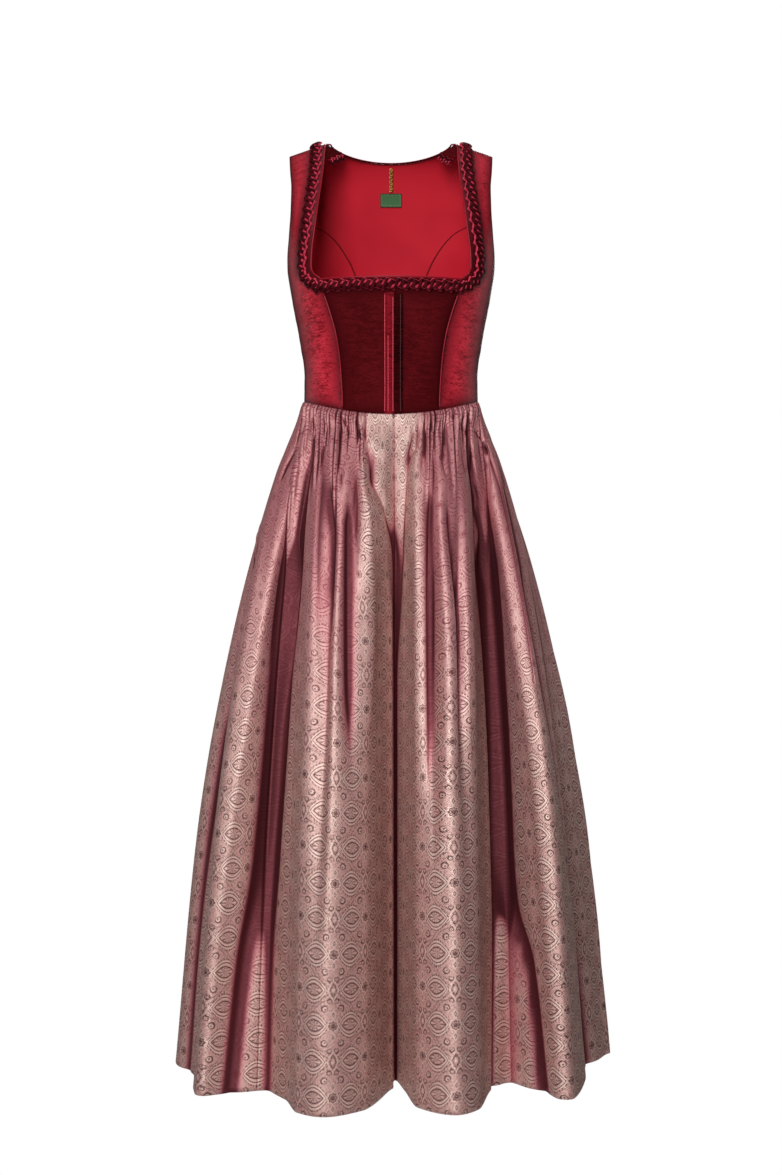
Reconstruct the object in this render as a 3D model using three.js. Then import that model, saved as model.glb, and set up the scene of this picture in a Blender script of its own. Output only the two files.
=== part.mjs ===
// A sleeveless floor-length dirndl, filled out as it is when worn: a velvet bodice of seven
// cut pieces with a lined back, a ruched neckline, and a gathered jacquard skirt of four widths.
//
// Frame: millimetres, +Z up, -Y the front, +X the wearer's left. The origin lies midway between
// the two shoulder seams, at the height where the wearer's shoulders hold the straps up.
//
// Every piece is a thin wall. Its places are worked out from the section of the body (TORSO) or
// from the fold lines of the skirt (FOLDS), and its two faces are moved out and in from there.
import * as THREE from "three";

// ---- Driving dimensions ----
const SEAM_GAP = 0.3; // between two pieces at a seam
const VELVET = 1.4; // thickness of the bodice cloth
const LINING = 1.0;
const JACQUARD = 1.2;
const WAIST_DROP = 387; // shoulder to waist seam at the side
const WAIST_DIP = 25; // how much lower the seam lies at the centre front
const BACK_WAIST_DIP = 3;
const HEM_DROP = 1374; // shoulder to hem
const BEND_DROP = 300; // below this the rows start to follow the dip of the waist seam
const CLOSURE_X = 4; // the front closure lies a little to the wearer's left
const NECK_HALF = 101; // half the neck opening at the shoulder
const STRAP_END = 152; // outer end of the shoulder seam
const SHOULDER_SLOPE = 18; // how far the strap falls from the neck to its outer end
const SLOPE_FADE = 150; // drop over which that slope dies away
const BACK_NECK_DIP = 17; // how far the back neckline dips at its centre
const BACK_NECK_HALF = 92; // half the width over which it dips
const BACK_NECK_BLEND = 60; // drop over which the rows take up that dip
const SKIRT_TUCK = 0.8; // how far the gathered edge stands out from the bodice edge
const RUCHE = { width: 15, height: 4.6, pitch: 14, sway: 2.2, steps: 4 };
const RUCHE_END = 9; // width of its turned-in ends at the shoulders
const PIPING_RADIUS = 1.2;
const PIPING_STEPS = 48;
const PLACKET = { width: 13.5, thick: 1.2, top: 239 };
const LABEL = { width: 33, top: 56, bottom: 76, thick: 1, hang: 0.7 };
const CHAIN = { top: 15, bottom: 53, wide: 2.4, thin: 1.3, turns: 4 };

// ---- Colours ----
const FINISH = {
  side_velvet: { color: 0xb3203c, roughness: 0.55, metalness: 0 },
  centre_velvet: { color: 0x5a1018, roughness: 0.85, metalness: 0 },
  ruche_velvet: { color: 0x3a080e, roughness: 0.8, metalness: 0 },
  piping: { color: 0xa8324a, roughness: 0.5, metalness: 0 },
  lining: { color: 0xb51f2e, roughness: 0.7, metalness: 0 },
  jacquard: { color: 0xa8706c, roughness: 0.45, metalness: 0.2 },
  label: { color: 0x3d7040, roughness: 0.8, metalness: 0 },
  chain: { color: 0x8a6a2c, roughness: 0.4, metalness: 0.9 },
};

// ---- The body that the bodice is cut for ----
// drop below the shoulder, half the width, depth in front and behind, and the power that makes
// the section square (1 is an ellipse).
const TORSO = [
  { drop: 0, half: 168, front: 0, back: 0, power: 0.78 },
  { drop: 12, half: 171, front: 22, back: 54, power: 0.78 },
  { drop: 30, half: 175, front: 38, back: 71, power: 0.78 },
  { drop: 60, half: 178, front: 57, back: 85, power: 0.79 },
  { drop: 100, half: 175, front: 76, back: 97, power: 0.8 },
  { drop: 150, half: 161, front: 97, back: 106, power: 0.86 },
  { drop: 195, half: 154.5, front: 112, back: 109, power: 0.92 },
  { drop: 240, half: 147, front: 120, back: 106, power: 0.95 },
  { drop: 293, half: 137, front: 114, back: 98, power: 0.96 },
  { drop: 350, half: 129.5, front: 102, back: 94, power: 0.97 },
  { drop: 387, half: 130, front: 98, back: 96, power: 0.98 },
  { drop: 410, half: 133, front: 97, back: 99, power: 0.98 },
];
// Half the opening of the front, from the neckline at the shoulder to its lower corner (level
// 217), and from there the seam between the side front and the centre front.
const FRONT_EDGE = [
  { level: 0, x: 101 },
  { level: 30, x: 101.5 },
  { level: 65, x: 104.5 },
  { level: 105, x: 109.5 },
  { level: 145, x: 114.5 },
  { level: 175, x: 118 },
  { level: 195, x: 118.5 },
  { level: 206, x: 115 },
  { level: 213, x: 107 },
  { level: 217, x: 102 },
  { level: 235, x: 97 },
  { level: 262, x: 88 },
  { level: 295, x: 79 },
  { level: 325, x: 74 },
  { level: 355, x: 71 },
  { level: 387, x: 69 },
];
// The armhole, alike in front and behind, down to the side seam.
const ARMHOLE = [
  { level: 0, x: 152 },
  { level: 30, x: 150 },
  { level: 65, x: 147.5 },
  { level: 105, x: 148 },
  { level: 145, x: 151 },
  { level: 175, x: 154 },
  { level: 195, x: 154.5 },
];
const UNDERARM = 195;
const NECK_CORNER = 217;
// The curved seam of the back, from the armhole to the waist.
const BACK_SEAM = [
  { level: 97, x: 146 },
  { level: 108, x: 118 },
  { level: 118, x: 99 },
  { level: 132, x: 84 },
  { level: 150, x: 71 },
  { level: 168, x: 61 },
  { level: 195, x: 51.5 },
  { level: 225, x: 46 },
  { level: 262, x: 42 },
  { level: 300, x: 40 },
  { level: 387, x: 38 },
];
const BACK_SEAM_TOP = 97;
const FRONT_LEVELS = [
  0, 8, 30, 65, 105, 145, 175, 195, 206, 213, 217, 235, 262, 295, 325, 355, 387,
];
const NECK_COLUMNS = 4; // columns of the back from its middle to the end of the neckline
const BACK_LEVELS = [0, 8, 25, 60, 97, 108, 118, 132, 150, 170, 195, 235, 300, 345, 387];

// ---- The skirt ----
// How far the cloth has spread from the waist line to the hem line, by drop below the waist.
const SKIRT_LENGTH = 985; // waist seam to hem at the side
const FLARE = [
  { drop: 0, share: 0 },
  { drop: 24, share: 0.045 },
  { drop: 56, share: 0.12 },
  { drop: 116, share: 0.257 },
  { drop: 236, share: 0.452 },
  { drop: 416, share: 0.655 },
  { drop: 656, share: 0.848 },
  { drop: 985, share: 1 },
];
// One row for each fold line: where it leaves the waist (degrees round from the centre front,
// plus to the wearer's left), where it meets the hem, and how far the cloth bellies out in the
// first stretch below the waist. Valleys lie near the body, rolls far from it.
const FOLDS = [
  { waist: -180, x: 0, y: 288, belly: 0 }, // centre back
  { waist: -171, x: -44, y: 234, belly: 0 },
  { waist: -162, x: -94, y: 282, belly: 0 },
  { waist: -153, x: -134, y: 216, belly: 0 },
  { waist: -145, x: -188, y: 248, belly: 0 },
  { waist: -137, x: -208, y: 176, belly: 0 },
  { waist: -129, x: -268, y: 170, belly: 0 },
  { waist: -120, x: -284, y: 88, belly: 0 },
  { waist: -110, x: -322, y: 8, belly: 0 }, // right side
  { waist: -98, x: -300, y: -82, belly: 0 },
  { waist: -87, x: -262, y: -204, belly: 0 }, // outer roll
  { waist: -82, x: -228, y: -200, belly: 2 },
  { waist: -74, x: -188, y: -180, belly: 4 }, // valley of the right side seam
  { waist: -57, x: -146, y: -226, belly: 6 },
  { waist: -47, x: -126, y: -296, belly: 6 },
  { waist: -32, x: -90, y: -319, belly: 6 }, // great right roll
  { waist: -14, x: -38, y: -284, belly: 8 },
  { waist: -4, x: -6, y: -188, belly: 20 },
  { waist: 2, x: 6, y: -118, belly: 28 }, // valley of the front seam
  { waist: 9, x: 20, y: -180, belly: 20 },
  { waist: 16, x: 36, y: -268, belly: 8 },
  { waist: 33, x: 86, y: -309, belly: 6 }, // great left roll
  { waist: 47, x: 118, y: -280, belly: 6 },
  { waist: 60, x: 140, y: -178, belly: 6 },
  { waist: 76, x: 172, y: -132, belly: 4 }, // valley of the left side seam
  { waist: 82, x: 214, y: -198, belly: 2 },
  { waist: 88, x: 246, y: -226, belly: 0 }, // outer roll
  { waist: 99, x: 284, y: -100, belly: 0 },
  { waist: 108, x: 306, y: -12, belly: 0 },
  { waist: 117, x: 330, y: 64, belly: 0 }, // left side
  { waist: 126, x: 284, y: 96, belly: 0 },
  { waist: 133, x: 274, y: 160, belly: 0 },
  { waist: 140, x: 214, y: 168, belly: 0 },
  { waist: 148, x: 190, y: 244, belly: 0 },
  { waist: 156, x: 136, y: 212, belly: 0 },
  { waist: 164, x: 92, y: 280, belly: 0 },
  { waist: 172, x: 40, y: 228, belly: 0 },
  { waist: 180, x: 0, y: 288, belly: 0 },
];
const BELLY_END = 330; // drop below the waist where the belly has gone
// Soft troughs between the folds: where each leaves the waist, half its width in degrees, its
// depth, and the drops where it starts and ends.
const TROUGHS = [
  { waist: -38, wide: 5, deep: 16, start: 60, end: 900 },
  { waist: -21, wide: 3, deep: 7, start: 10, end: 320 },
  { waist: -62, wide: 4, deep: 8, start: 20, end: 420 },
  { waist: 26, wide: 4, deep: 14, start: 70, end: 860 },
  { waist: 43, wide: 4, deep: 13, start: 40, end: 820 },
  { waist: 60, wide: 3, deep: 8, start: 20, end: 380 },
  { waist: -97, wide: 4, deep: 20, start: 110, end: 1500 },
  { waist: -106, wide: 3, deep: 10, start: 30, end: 520 },
  { waist: -115, wide: 3, deep: 12, start: 90, end: 1300 },
  { waist: -133, wide: 3, deep: 10, start: 30, end: 640 },
  { waist: -150, wide: 3, deep: 9, start: 20, end: 520 },
  { waist: -167, wide: 3, deep: 8, start: 20, end: 430 },
  { waist: 94, wide: 3, deep: 11, start: 30, end: 560 },
  { waist: 104, wide: 4, deep: 20, start: 110, end: 1500 },
  { waist: 112, wide: 3, deep: 9, start: 30, end: 480 },
  { waist: 130, wide: 3, deep: 10, start: 30, end: 600 },
  { waist: 144, wide: 3, deep: 9, start: 20, end: 500 },
  { waist: 160, wide: 3, deep: 8, start: 20, end: 420 },
  { waist: 176, wide: 3, deep: 7, start: 20, end: 380 },
];
// The four widths of the skirt. plain is the stretch beside the front seam without gathers.
const WIDTHS = [
  { name: "skirt_back_right", from: -180, to: -74, gathers: 14, plain: 0 },
  { name: "skirt_front_right", from: -74, to: 2, gathers: 10, plain: 16 },
  { name: "skirt_front_left", from: 2, to: 76, gathers: 10, plain: 16 },
  { name: "skirt_back_left", from: 76, to: 180, gathers: 14, plain: 0 },
];
const PLAIN_COLUMNS = 5;
const GATHER_COLUMNS = 4;
const GATHER = { edge: 1.5, deep: 4.6, ripe: 36, reach: 250, vary: 110 };
const SKIRT_ROWS = [0, 10, 30, 65, 125, 215, 340, 510, 730, 985];

// ---- Small mathematics ----
const { degToRad, radToDeg, lerp, smoothstep, clamp } = THREE.MathUtils;
const vector = (x, y, z) => new THREE.Vector3(x, y, z);
const along = (from, to, steps) =>
  Array.from({ length: steps + 1 }, (_, i) => lerp(from, to, i / steps));

// Reads one column of a table at a place in another, on a smooth curve through its rows that
// never overshoots them.
function reader(table, place, column) {
  const at = table.map((row) => row[place]);
  const value = table.map((row) => row[column]);
  const last = at.length - 1;
  const slope = at.slice(1).map((x, i) => (value[i + 1] - value[i]) / (x - at[i]));
  const tangent = value.map((_, i) => {
    if (i === 0) return slope[0];
    if (i === last) return slope[last - 1];
    const [before, after] = [slope[i - 1], slope[i]];
    return before * after <= 0 ? 0 : (2 * before * after) / (before + after);
  });
  return (x) => {
    const found = at.findIndex((next, i) => i > 0 && x <= next);
    const i = x <= at[0] ? 0 : found < 0 ? last - 1 : found - 1;
    const width = at[i + 1] - at[i];
    const t = clamp((x - at[i]) / width, 0, 1);
    const rest = 1 - t;
    return (
      value[i] * (1 + 2 * t) * rest * rest +
      tangent[i] * width * t * rest * rest +
      value[i + 1] * t * t * (3 - 2 * t) -
      tangent[i + 1] * width * t * t * rest
    );
  };
}

// ---- Places on the body ----
const FRONT = -1;
const BACK = 1;
// Near the shoulder the depth grows as the root of the drop, so the columns are read by root.
const rooted = TORSO.map((row) => ({ ...row, root: Math.sqrt(row.drop) }));
const halfAt = reader(rooted, "root", "half");
const frontAt = reader(rooted, "root", "front");
const backAt = reader(rooted, "root", "back");
const powerAt = reader(rooted, "root", "power");

// A point of the body's surface. side is FRONT or BACK, and angle runs from -90 to 90 degrees
// from the middle of that side, plus to the wearer's left.
function torso(side, angle, drop) {
  const root = Math.sqrt(drop);
  const turn = degToRad(angle);
  const power = powerAt(root);
  const x = halfAt(root) * Math.sign(turn) * Math.abs(Math.sin(turn)) ** power;
  const depth = (side === FRONT ? frontAt : backAt)(root);
  const y = side * (depth * Math.abs(Math.cos(turn)) ** power + SEAM_GAP / 2);
  const beyond = Math.max(0, Math.abs(x) - NECK_HALF) / (STRAP_END - NECK_HALF);
  const fall = SHOULDER_SLOPE * beyond * (1 - smoothstep(drop, 0, SLOPE_FADE));
  return vector(x, y, -drop - fall);
}

function angleOf(x, drop) {
  const root = Math.sqrt(drop);
  const share = Math.min(1, Math.abs(x) / halfAt(root));
  return Math.sign(x) * radToDeg(Math.asin(share ** (1 / powerAt(root))));
}

// The outward normal of the body at a point.
function torsoNormal(side, angle, drop) {
  const turn = 0.4;
  const step = 0.04;
  const root = Math.sqrt(drop);
  const [a, b] = [clamp(angle - turn, -90, 90), clamp(angle + turn, -90, 90)];
  const across = torso(side, b, drop).sub(torso(side, a, drop));
  const down = torso(side, angle, (root + step) ** 2);
  down.sub(torso(side, angle, Math.max(0, root - step) ** 2));
  return down.cross(across).multiplyScalar(-side).normalize();
}

// A level is a drop that bends to follow the waist seam below and the back neckline above.
function dropOf(side, level, angle) {
  const middle = Math.cos(degToRad(angle)) ** 2;
  const dip = (side === FRONT ? WAIST_DIP : BACK_WAIST_DIP) * middle;
  let drop = level;
  if (level > BEND_DROP)
    drop += (dip * (level - BEND_DROP)) / (WAIST_DROP - BEND_DROP);
  if (side === BACK && level < BACK_NECK_BLEND) {
    const x = Math.min(1, Math.abs(torso(side, angle, 0).x) / BACK_NECK_HALF);
    drop += BACK_NECK_DIP * (1 - x ** 2) * (1 - level / BACK_NECK_BLEND) ** 2;
  }
  return drop;
}

// ---- Walls ----
// A closed wall from a grid of middle points, its rows running down and its columns to the
// wearer's left as seen from the front, with an offset vector for each point.
function wall(points, offsets) {
  const rows = points.length;
  const columns = points[0].length;
  const places = [];
  for (const side of [1, -1])
    points.forEach((row, i) =>
      row.forEach((point, j) => {
        const moved = point.clone().addScaledVector(offsets[i][j], side);
        places.push(moved.x, moved.y, moved.z);
      }),
    );
  const outer = (i, j) => i * columns + j;
  const inner = (i, j) => rows * columns + outer(i, j);
  const index = [];
  const quad = (a, b, c, d) => index.push(a, b, c, a, c, d);
  for (let i = 0; i < rows - 1; i++)
    for (let j = 0; j < columns - 1; j++) {
      quad(outer(i, j), outer(i + 1, j), outer(i + 1, j + 1), outer(i, j + 1));
      quad(inner(i, j), inner(i, j + 1), inner(i + 1, j + 1), inner(i + 1, j));
    }
  const [bottom, right] = [rows - 1, columns - 1];
  for (let j = 0; j < right; j++) {
    quad(outer(0, j), outer(0, j + 1), inner(0, j + 1), inner(0, j));
    quad(outer(bottom, j), inner(bottom, j), inner(bottom, j + 1), outer(bottom, j + 1));
  }
  for (let i = 0; i < bottom; i++) {
    quad(outer(i, 0), inner(i, 0), inner(i + 1, 0), outer(i + 1, 0));
    quad(outer(i, right), outer(i + 1, right), inner(i + 1, right), inner(i, right));
  }
  const geometry = new THREE.BufferGeometry();
  geometry.setAttribute("position", new THREE.Float32BufferAttribute(places, 3));
  geometry.setIndex(index);
  return geometry;
}

const model = new THREE.Group();
function add(name, finish, geometry) {
  const mesh = new THREE.Mesh(geometry, new THREE.MeshStandardMaterial(FINISH[finish]));
  mesh.name = name;
  model.add(mesh);
}

// One cut piece of the bodice: at each level it runs between two x places, split by shares.
// lift moves its middle out from the body's surface.
function bodicePiece({ name, finish, side, levels, edges, shares, lift, thick }) {
  const points = [];
  const offsets = [];
  levels.forEach((level) => {
    const [from, to] = edges(level).map((x) => angleOf(x, level));
    const places = shares.map((share) => {
      const angle = lerp(from, to, share);
      const drop = dropOf(side, level, angle);
      const normal = torsoNormal(side, angle, drop);
      const point = torso(side, angle, drop).addScaledVector(normal, lift);
      if (level === WAIST_DROP) normal.setZ(0).normalize();
      return { point, offset: normal.multiplyScalar(thick / 2) };
    });
    if (side === BACK) places.reverse();
    points.push(places.map((place) => place.point));
    offsets.push(places.map((place) => place.offset));
  });
  add(name, finish, wall(points, offsets));
}

const frontEdge = reader(FRONT_EDGE, "level", "x");
const armholeX = reader(ARMHOLE, "level", "x");
const backSeam = reader(BACK_SEAM, "level", "x");
const outerX = (level) =>
  level < UNDERARM ? armholeX(level) : halfAt(Math.sqrt(level));
const even = (count) => along(0, 1, count);
const HALF_GAP = SEAM_GAP / 2;
const SIDES = [
  { word: "right", sign: -1 },
  { word: "left", sign: 1 },
];
// Edges are given for the wearer's left; on the right they are mirrored and swapped.
const mirrored = (sign, near, far) => (sign > 0 ? [near, far] : [-far, -near]);

function bodice() {
  for (const { word, sign } of SIDES) {
    bodicePiece({
      name: `front_side_${word}`,
      finish: "side_velvet",
      side: FRONT,
      levels: FRONT_LEVELS,
      edges: (level) => mirrored(sign, frontEdge(level) + HALF_GAP, outerX(level)),
      shares: even(5),
      lift: 0,
      thick: VELVET,
    });
    bodicePiece({
      name: `front_centre_${word}`,
      finish: "centre_velvet",
      side: FRONT,
      levels: FRONT_LEVELS.filter((level) => level >= NECK_CORNER),
      edges: (level) =>
        mirrored(sign, sign * CLOSURE_X + HALF_GAP, frontEdge(level) - HALF_GAP),
      shares: even(4),
      lift: 0,
      thick: VELVET,
    });
  }
  const layers = [
    { prefix: "back", finish: "side_velvet", lift: 0, thick: VELVET },
    {
      prefix: "lining_back",
      finish: "lining",
      lift: -(VELVET / 2 + SEAM_GAP + LINING / 2),
      thick: LINING,
    },
  ];
  // The columns meet the corners of the neckline, where the straps begin.
  const neckShare = angleOf(NECK_HALF, 0) / angleOf(STRAP_END, 0);
  const half = [...along(0, neckShare, NECK_COLUMNS), (neckShare + 1) / 2, 1];
  const whole = [...half.slice(1).reverse().map((s) => -s), ...half];
  for (const { prefix, finish, lift, thick } of layers) {
    bodicePiece({
      name: `${prefix}_centre`,
      finish,
      side: BACK,
      levels: BACK_LEVELS,
      edges: (level) => {
        const x = level < BACK_SEAM_TOP ? armholeX(level) : backSeam(level);
        return [-(x - HALF_GAP), x - HALF_GAP];
      },
      shares: whole.map((share) => (share + 1) / 2),
      lift,
      thick,
    });
    for (const { word, sign } of SIDES)
      bodicePiece({
        name: `${prefix}_side_${word}`,
        finish,
        side: BACK,
        levels: BACK_LEVELS.filter((level) => level >= BACK_SEAM_TOP),
        edges: (level) => mirrored(sign, backSeam(level) + HALF_GAP, outerX(level)),
        shares: even(5),
        lift,
        thick,
      });
  }
}

// ---- Tubes and bands that follow the body ----
// Places on the body, given as x and level, joined by a smooth line that keeps to the body and is
// lifted off it. A level below nought lies on the back. A second curve further out gives the
// direction away from the body at each place.
const PLACES_PER_STRETCH = 8;
function onBody(side, places, lift) {
  const far = 10;
  return places.map(({ x, level }) => {
    const angle = angleOf(x, Math.abs(level));
    const which = level < 0 ? BACK : side;
    const drop = dropOf(which, Math.abs(level), angle);
    const normal = torsoNormal(which, angle, drop);
    const near = torso(which, angle, drop).addScaledVector(normal, lift);
    return { near, out: near.clone().addScaledVector(normal, far) };
  });
}
function frameAlong(line, outside) {
  line.arcLengthDivisions = 900;
  return (share) => {
    const t = line.getUtoTmapping(share);
    const point = line.getPoint(t);
    const tangent = line.getTangent(t);
    const normal = outside.getPoint(t).sub(point);
    normal.addScaledVector(tangent, -normal.dot(tangent)).normalize();
    return { point, tangent, normal, aside: tangent.clone().cross(normal) };
  };
}
function route(side, places, lift) {
  const flat = new THREE.CatmullRomCurve3(
    places.map(({ x, level }) => vector(x, Math.sign(level) * Math.sqrt(Math.abs(level)), 0)),
  );
  const between = even((places.length - 1) * PLACES_PER_STRETCH).map((share) => {
    const { x, y } = flat.getPoint(share);
    return { x, level: Math.sign(y) * y * y };
  });
  const at = onBody(side, between, lift);
  return frameAlong(
    new THREE.CatmullRomCurve3(at.map((place) => place.near)),
    new THREE.CatmullRomCurve3(at.map((place) => place.out)),
  );
}
// The same, but straight from place to place.
function straightRoute(side, places, lift) {
  const at = onBody(side, places, lift);
  const straight = (points) => new THREE.CatmullRomCurve3(points, false, "catmullrom", 0);
  return frameAlong(
    straight(at.map((place) => place.near)),
    straight(at.map((place) => place.out)),
  );
}

const lengthOf = (frame, steps = 200) =>
  along(0, 1, steps).reduce((sum, share, i, all) => {
    if (i === 0) return sum;
    return sum + frame(share).point.distanceTo(frame(all[i - 1]).point);
  }, 0);

// A closed tube: at each share of the route, the section gives places aside and out.
function tube(frame, shares, section) {
  const places = [];
  let sides = 0;
  shares.forEach((share, i) => {
    const { point, normal, aside } = frame(share);
    const ring = section(share, i);
    sides = ring.length;
    for (const { across, out } of ring) {
      const place = point.clone().addScaledVector(aside, across);
      place.addScaledVector(normal, out);
      places.push(place.x, place.y, place.z);
    }
  });
  const last = shares.length - 1;
  const index = [];
  for (let i = 0; i < last; i++)
    for (let k = 0; k < sides; k++) {
      const [a, b] = [i * sides + k, i * sides + ((k + 1) % sides)];
      index.push(a, b, b + sides, a, b + sides, a + sides);
    }
  for (let k = 1; k < sides - 1; k++) {
    index.push(0, k + 1, k);
    index.push(last * sides, last * sides + k, last * sides + k + 1);
  }
  const geometry = new THREE.BufferGeometry();
  geometry.setAttribute("position", new THREE.Float32BufferAttribute(places, 3));
  geometry.setIndex(index);
  return geometry;
}

const circle = (radius, sides) =>
  along(0, 2 * Math.PI, sides)
    .slice(0, sides)
    .map((turn) => ({ across: -radius * Math.cos(turn), out: radius * Math.sin(turn) }));

// A gathered velvet band: it puffs up once in each pitch and its two edges sway together, so
// the puffs lie aslant like the strands of a plait.
function ruche(name, frame, width = RUCHE.width) {
  const waves = Math.round(lengthOf(frame) / RUCHE.pitch);
  const shares = even(waves * RUCHE.steps);
  const section = (share) => {
    const phase = 2 * Math.PI * share * waves;
    const shift = ((RUCHE.sway * width) / RUCHE.width) * Math.sin(phase);
    const height = RUCHE.height * (0.72 + 0.28 * Math.cos(2 * phase));
    const half = width / 2;
    return [
      { across: -half + shift, out: 0.9 },
      { across: -half * 0.5 + shift, out: height },
      { across: half * 0.45 + shift, out: height * (0.8 + 0.2 * Math.cos(phase)) },
      { across: half + shift, out: 0.9 },
      { across: shift, out: 0 },
    ];
  };
  add(name, "ruche_velvet", tube(frame, shares, section));
}

// The places of a line beside the front neckline, from shoulder to shoulder, moved out over the
// cloth or in over the opening by a distance square to the edge. It may run on over the shoulder.
function besideNeckline(distance, wrap) {
  const levels = FRONT_LEVELS.filter((level) => level <= NECK_CORNER);
  const edge = levels.map((level) => ({ x: frontEdge(level), level }));
  for (const x of [88, 62, 30]) edge.push({ x, level: NECK_CORNER });
  const half = edge.map(({ x, level }, i) => {
    const before = edge[Math.max(0, i - 1)];
    const after = edge[Math.min(edge.length - 1, i + 1)];
    const [across, down] = [after.x - before.x, after.level - before.level];
    const size = Math.hypot(across, down);
    return {
      x: x + (distance * down) / size,
      level: Math.max(0, level - (distance * across) / size),
    };
  });
  if (wrap) half.unshift({ x: NECK_HALF + distance, level: -3 });
  const mirror = half.map(({ x, level }) => ({ x: -x, level }));
  return [...mirror, ...half.reverse()];
}

function trims() {
  const onCloth = VELVET / 2 + SEAM_GAP;
  const band = RUCHE.width / 2 + RUCHE.sway + 0.6;
  ruche("neckline_ruche", route(FRONT, besideNeckline(band, true), onCloth + 0.3));

  const beside = -(PIPING_RADIUS + SEAM_GAP + 0.2);
  const edge = route(FRONT, besideNeckline(beside, false), 0);
  add("neckline_piping", "piping", tube(edge, even(PIPING_STEPS), () => circle(PIPING_RADIUS, 4)));

  const columns = along(1, -1, 2 * NECK_COLUMNS).map((share) => {
    const x = torso(BACK, angleOf(NECK_HALF, 0) * share, 0).x;
    return { x, level: 0 };
  });
  const backEdge = straightRoute(BACK, columns, 0);
  const backRing = () =>
    circle(PIPING_RADIUS, 5).map(({ across, out }) => ({
      across: across - PIPING_RADIUS - SEAM_GAP - 0.3,
      out,
    }));
  add("back_neck_piping", "ruche_velvet", tube(backEdge, along(0.02, 0.98, 24), backRing));

  for (const { word, sign } of SIDES) {
    const seam = [240, 262, 295, 325, 355, 384].map((level) => ({
      x: sign * frontEdge(level),
      level,
    }));
    const frame = route(FRONT, seam, onCloth + PIPING_RADIUS + SEAM_GAP);
    const ring = () => circle(PIPING_RADIUS, 5);
    add(`princess_piping_${word}`, "piping", tube(frame, even(12), ring));
    const levels = [PLACKET.top, 262, 295, 325, 355, WAIST_DROP];
    bodicePiece({
      name: `placket_${word}`,
      finish: word === "right" ? "side_velvet" : "centre_velvet",
      side: FRONT,
      levels,
      edges: () =>
        mirrored(
          sign,
          sign * CLOSURE_X + HALF_GAP,
          sign * CLOSURE_X + PLACKET.width,
        ),
      shares: even(2),
      lift: onCloth + PLACKET.thick / 2,
      thick: PLACKET.thick,
    });
  }
}

// The turned-in corner of each strap: a small triangle of velvet between the front and back
// necklines, with the end of the ruche along its lower edge.
function shoulderCorners() {
  const top = vector(97.2, 1, -1.5);
  const back = vector(74, 28, -5.5);
  const low = vector(97, -10, -24);
  const steps = 3;
  for (const { word, sign } of SIDES) {
    const flip = (v) => v.clone().multiply(vector(sign, 1, 1));
    const [a, b, c] = [top, back, low].map(flip);
    const normal = b.clone().sub(a).cross(c.clone().sub(a)).multiplyScalar(sign).normalize();
    const points = even(steps).map((down) => {
      const start = a.clone().lerp(c, down * 0.96);
      const end = a.clone().lerp(b, 1).lerp(b.clone().lerp(c, 0.12), down);
      const row = even(steps).map((share) => start.clone().lerp(end, share));
      return sign > 0 ? row.reverse() : row;
    });
    const offsets = points.map((row) => row.map(() => normal.clone().multiplyScalar(0.6)));
    add(`shoulder_corner_${word}`, "centre_velvet", wall(points, offsets));

    // the strip hangs from the lower edge, in the plane of the triangle
    const edge = new THREE.LineCurve3(c.clone().lerp(b, 0.06), b.clone().lerp(c, 0.12));
    const tangent = edge.getTangent(0);
    const aside = tangent.clone().cross(normal);
    const hang = -sign * (RUCHE_END / 2 + RUCHE.sway);
    const frame = (share) => ({
      point: edge.getPoint(share).addScaledVector(aside, hang),
      tangent,
      normal,
      aside,
    });
    ruche(`ruche_end_${word}`, frame, RUCHE_END);
  }
}

function labelAndChain() {
  const layers = VELVET / 2 + SEAM_GAP + LINING + SEAM_GAP;
  const inside = -(layers + LABEL.hang + LABEL.thick / 2);
  bodicePiece({
    name: "label",
    finish: "label",
    side: BACK,
    levels: along(LABEL.top, LABEL.bottom, 2),
    edges: () => [-LABEL.width / 2, LABEL.width / 2],
    shares: even(4),
    lift: inside,
    thick: LABEL.thick,
  });
  const hang = along(CHAIN.top, CHAIN.bottom, 4).map((level) => ({ x: 0, level }));
  const frame = route(BACK, hang, inside - CHAIN.wide);
  const section = (share) => {
    const twist = share * CHAIN.turns * Math.PI;
    return along(0, 2 * Math.PI, 6)
      .slice(0, 6)
      .map((turn) => {
        const [u, v] = [-CHAIN.wide * Math.cos(turn), CHAIN.thin * Math.sin(turn)];
        const [cos, sin] = [Math.cos(twist), Math.sin(twist)];
        return { across: u * cos - v * sin, out: u * sin + v * cos };
      });
  };
  add("hanging_chain", "chain", tube(frame, even(CHAIN.turns * 6), section));
}

// ---- The skirt's walls ----
const flareAt = reader(FLARE, "drop", "share");
const hemX = reader(FOLDS, "waist", "x");
const hemY = reader(FOLDS, "waist", "y");
const bellyAt = reader(FOLDS, "waist", "belly");

// The columns of one width: four to a gather, from valley to valley, and a few plain ones.
function columnsOf({ from, to, gathers, plain }, first) {
  const front = Math.abs(from) < Math.abs(to) ? from : to;
  const start = plain && front === from ? from + plain : from;
  const end = plain && front === to ? to - plain : to;
  const gathered = along(start, end, gathers * GATHER_COLUMNS).map((waist, i) => ({
    waist,
    wave: -Math.cos((2 * Math.PI * i) / GATHER_COLUMNS),
    number: first + Math.floor(i / GATHER_COLUMNS),
  }));
  const smooth = (a, b) =>
    along(a, b, PLAIN_COLUMNS).map((waist) => ({ waist, wave: 0, number: first }));
  if (!plain) return gathered;
  return start > from
    ? [...smooth(from, start).slice(0, -1), ...gathered]
    : [...gathered, ...smooth(end, to).slice(1)];
}

function gatherHeight(number, drop) {
  const reach = GATHER.reach + GATHER.vary * Math.sin(1.9 * number + 0.6);
  const size = 0.82 + 0.18 * Math.sin(2.3 * number);
  const ripe = lerp(GATHER.edge, GATHER.deep, smoothstep(drop, 0, GATHER.ripe));
  return size * ripe * (1 - smoothstep(drop, 0.25 * reach, reach));
}

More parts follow.
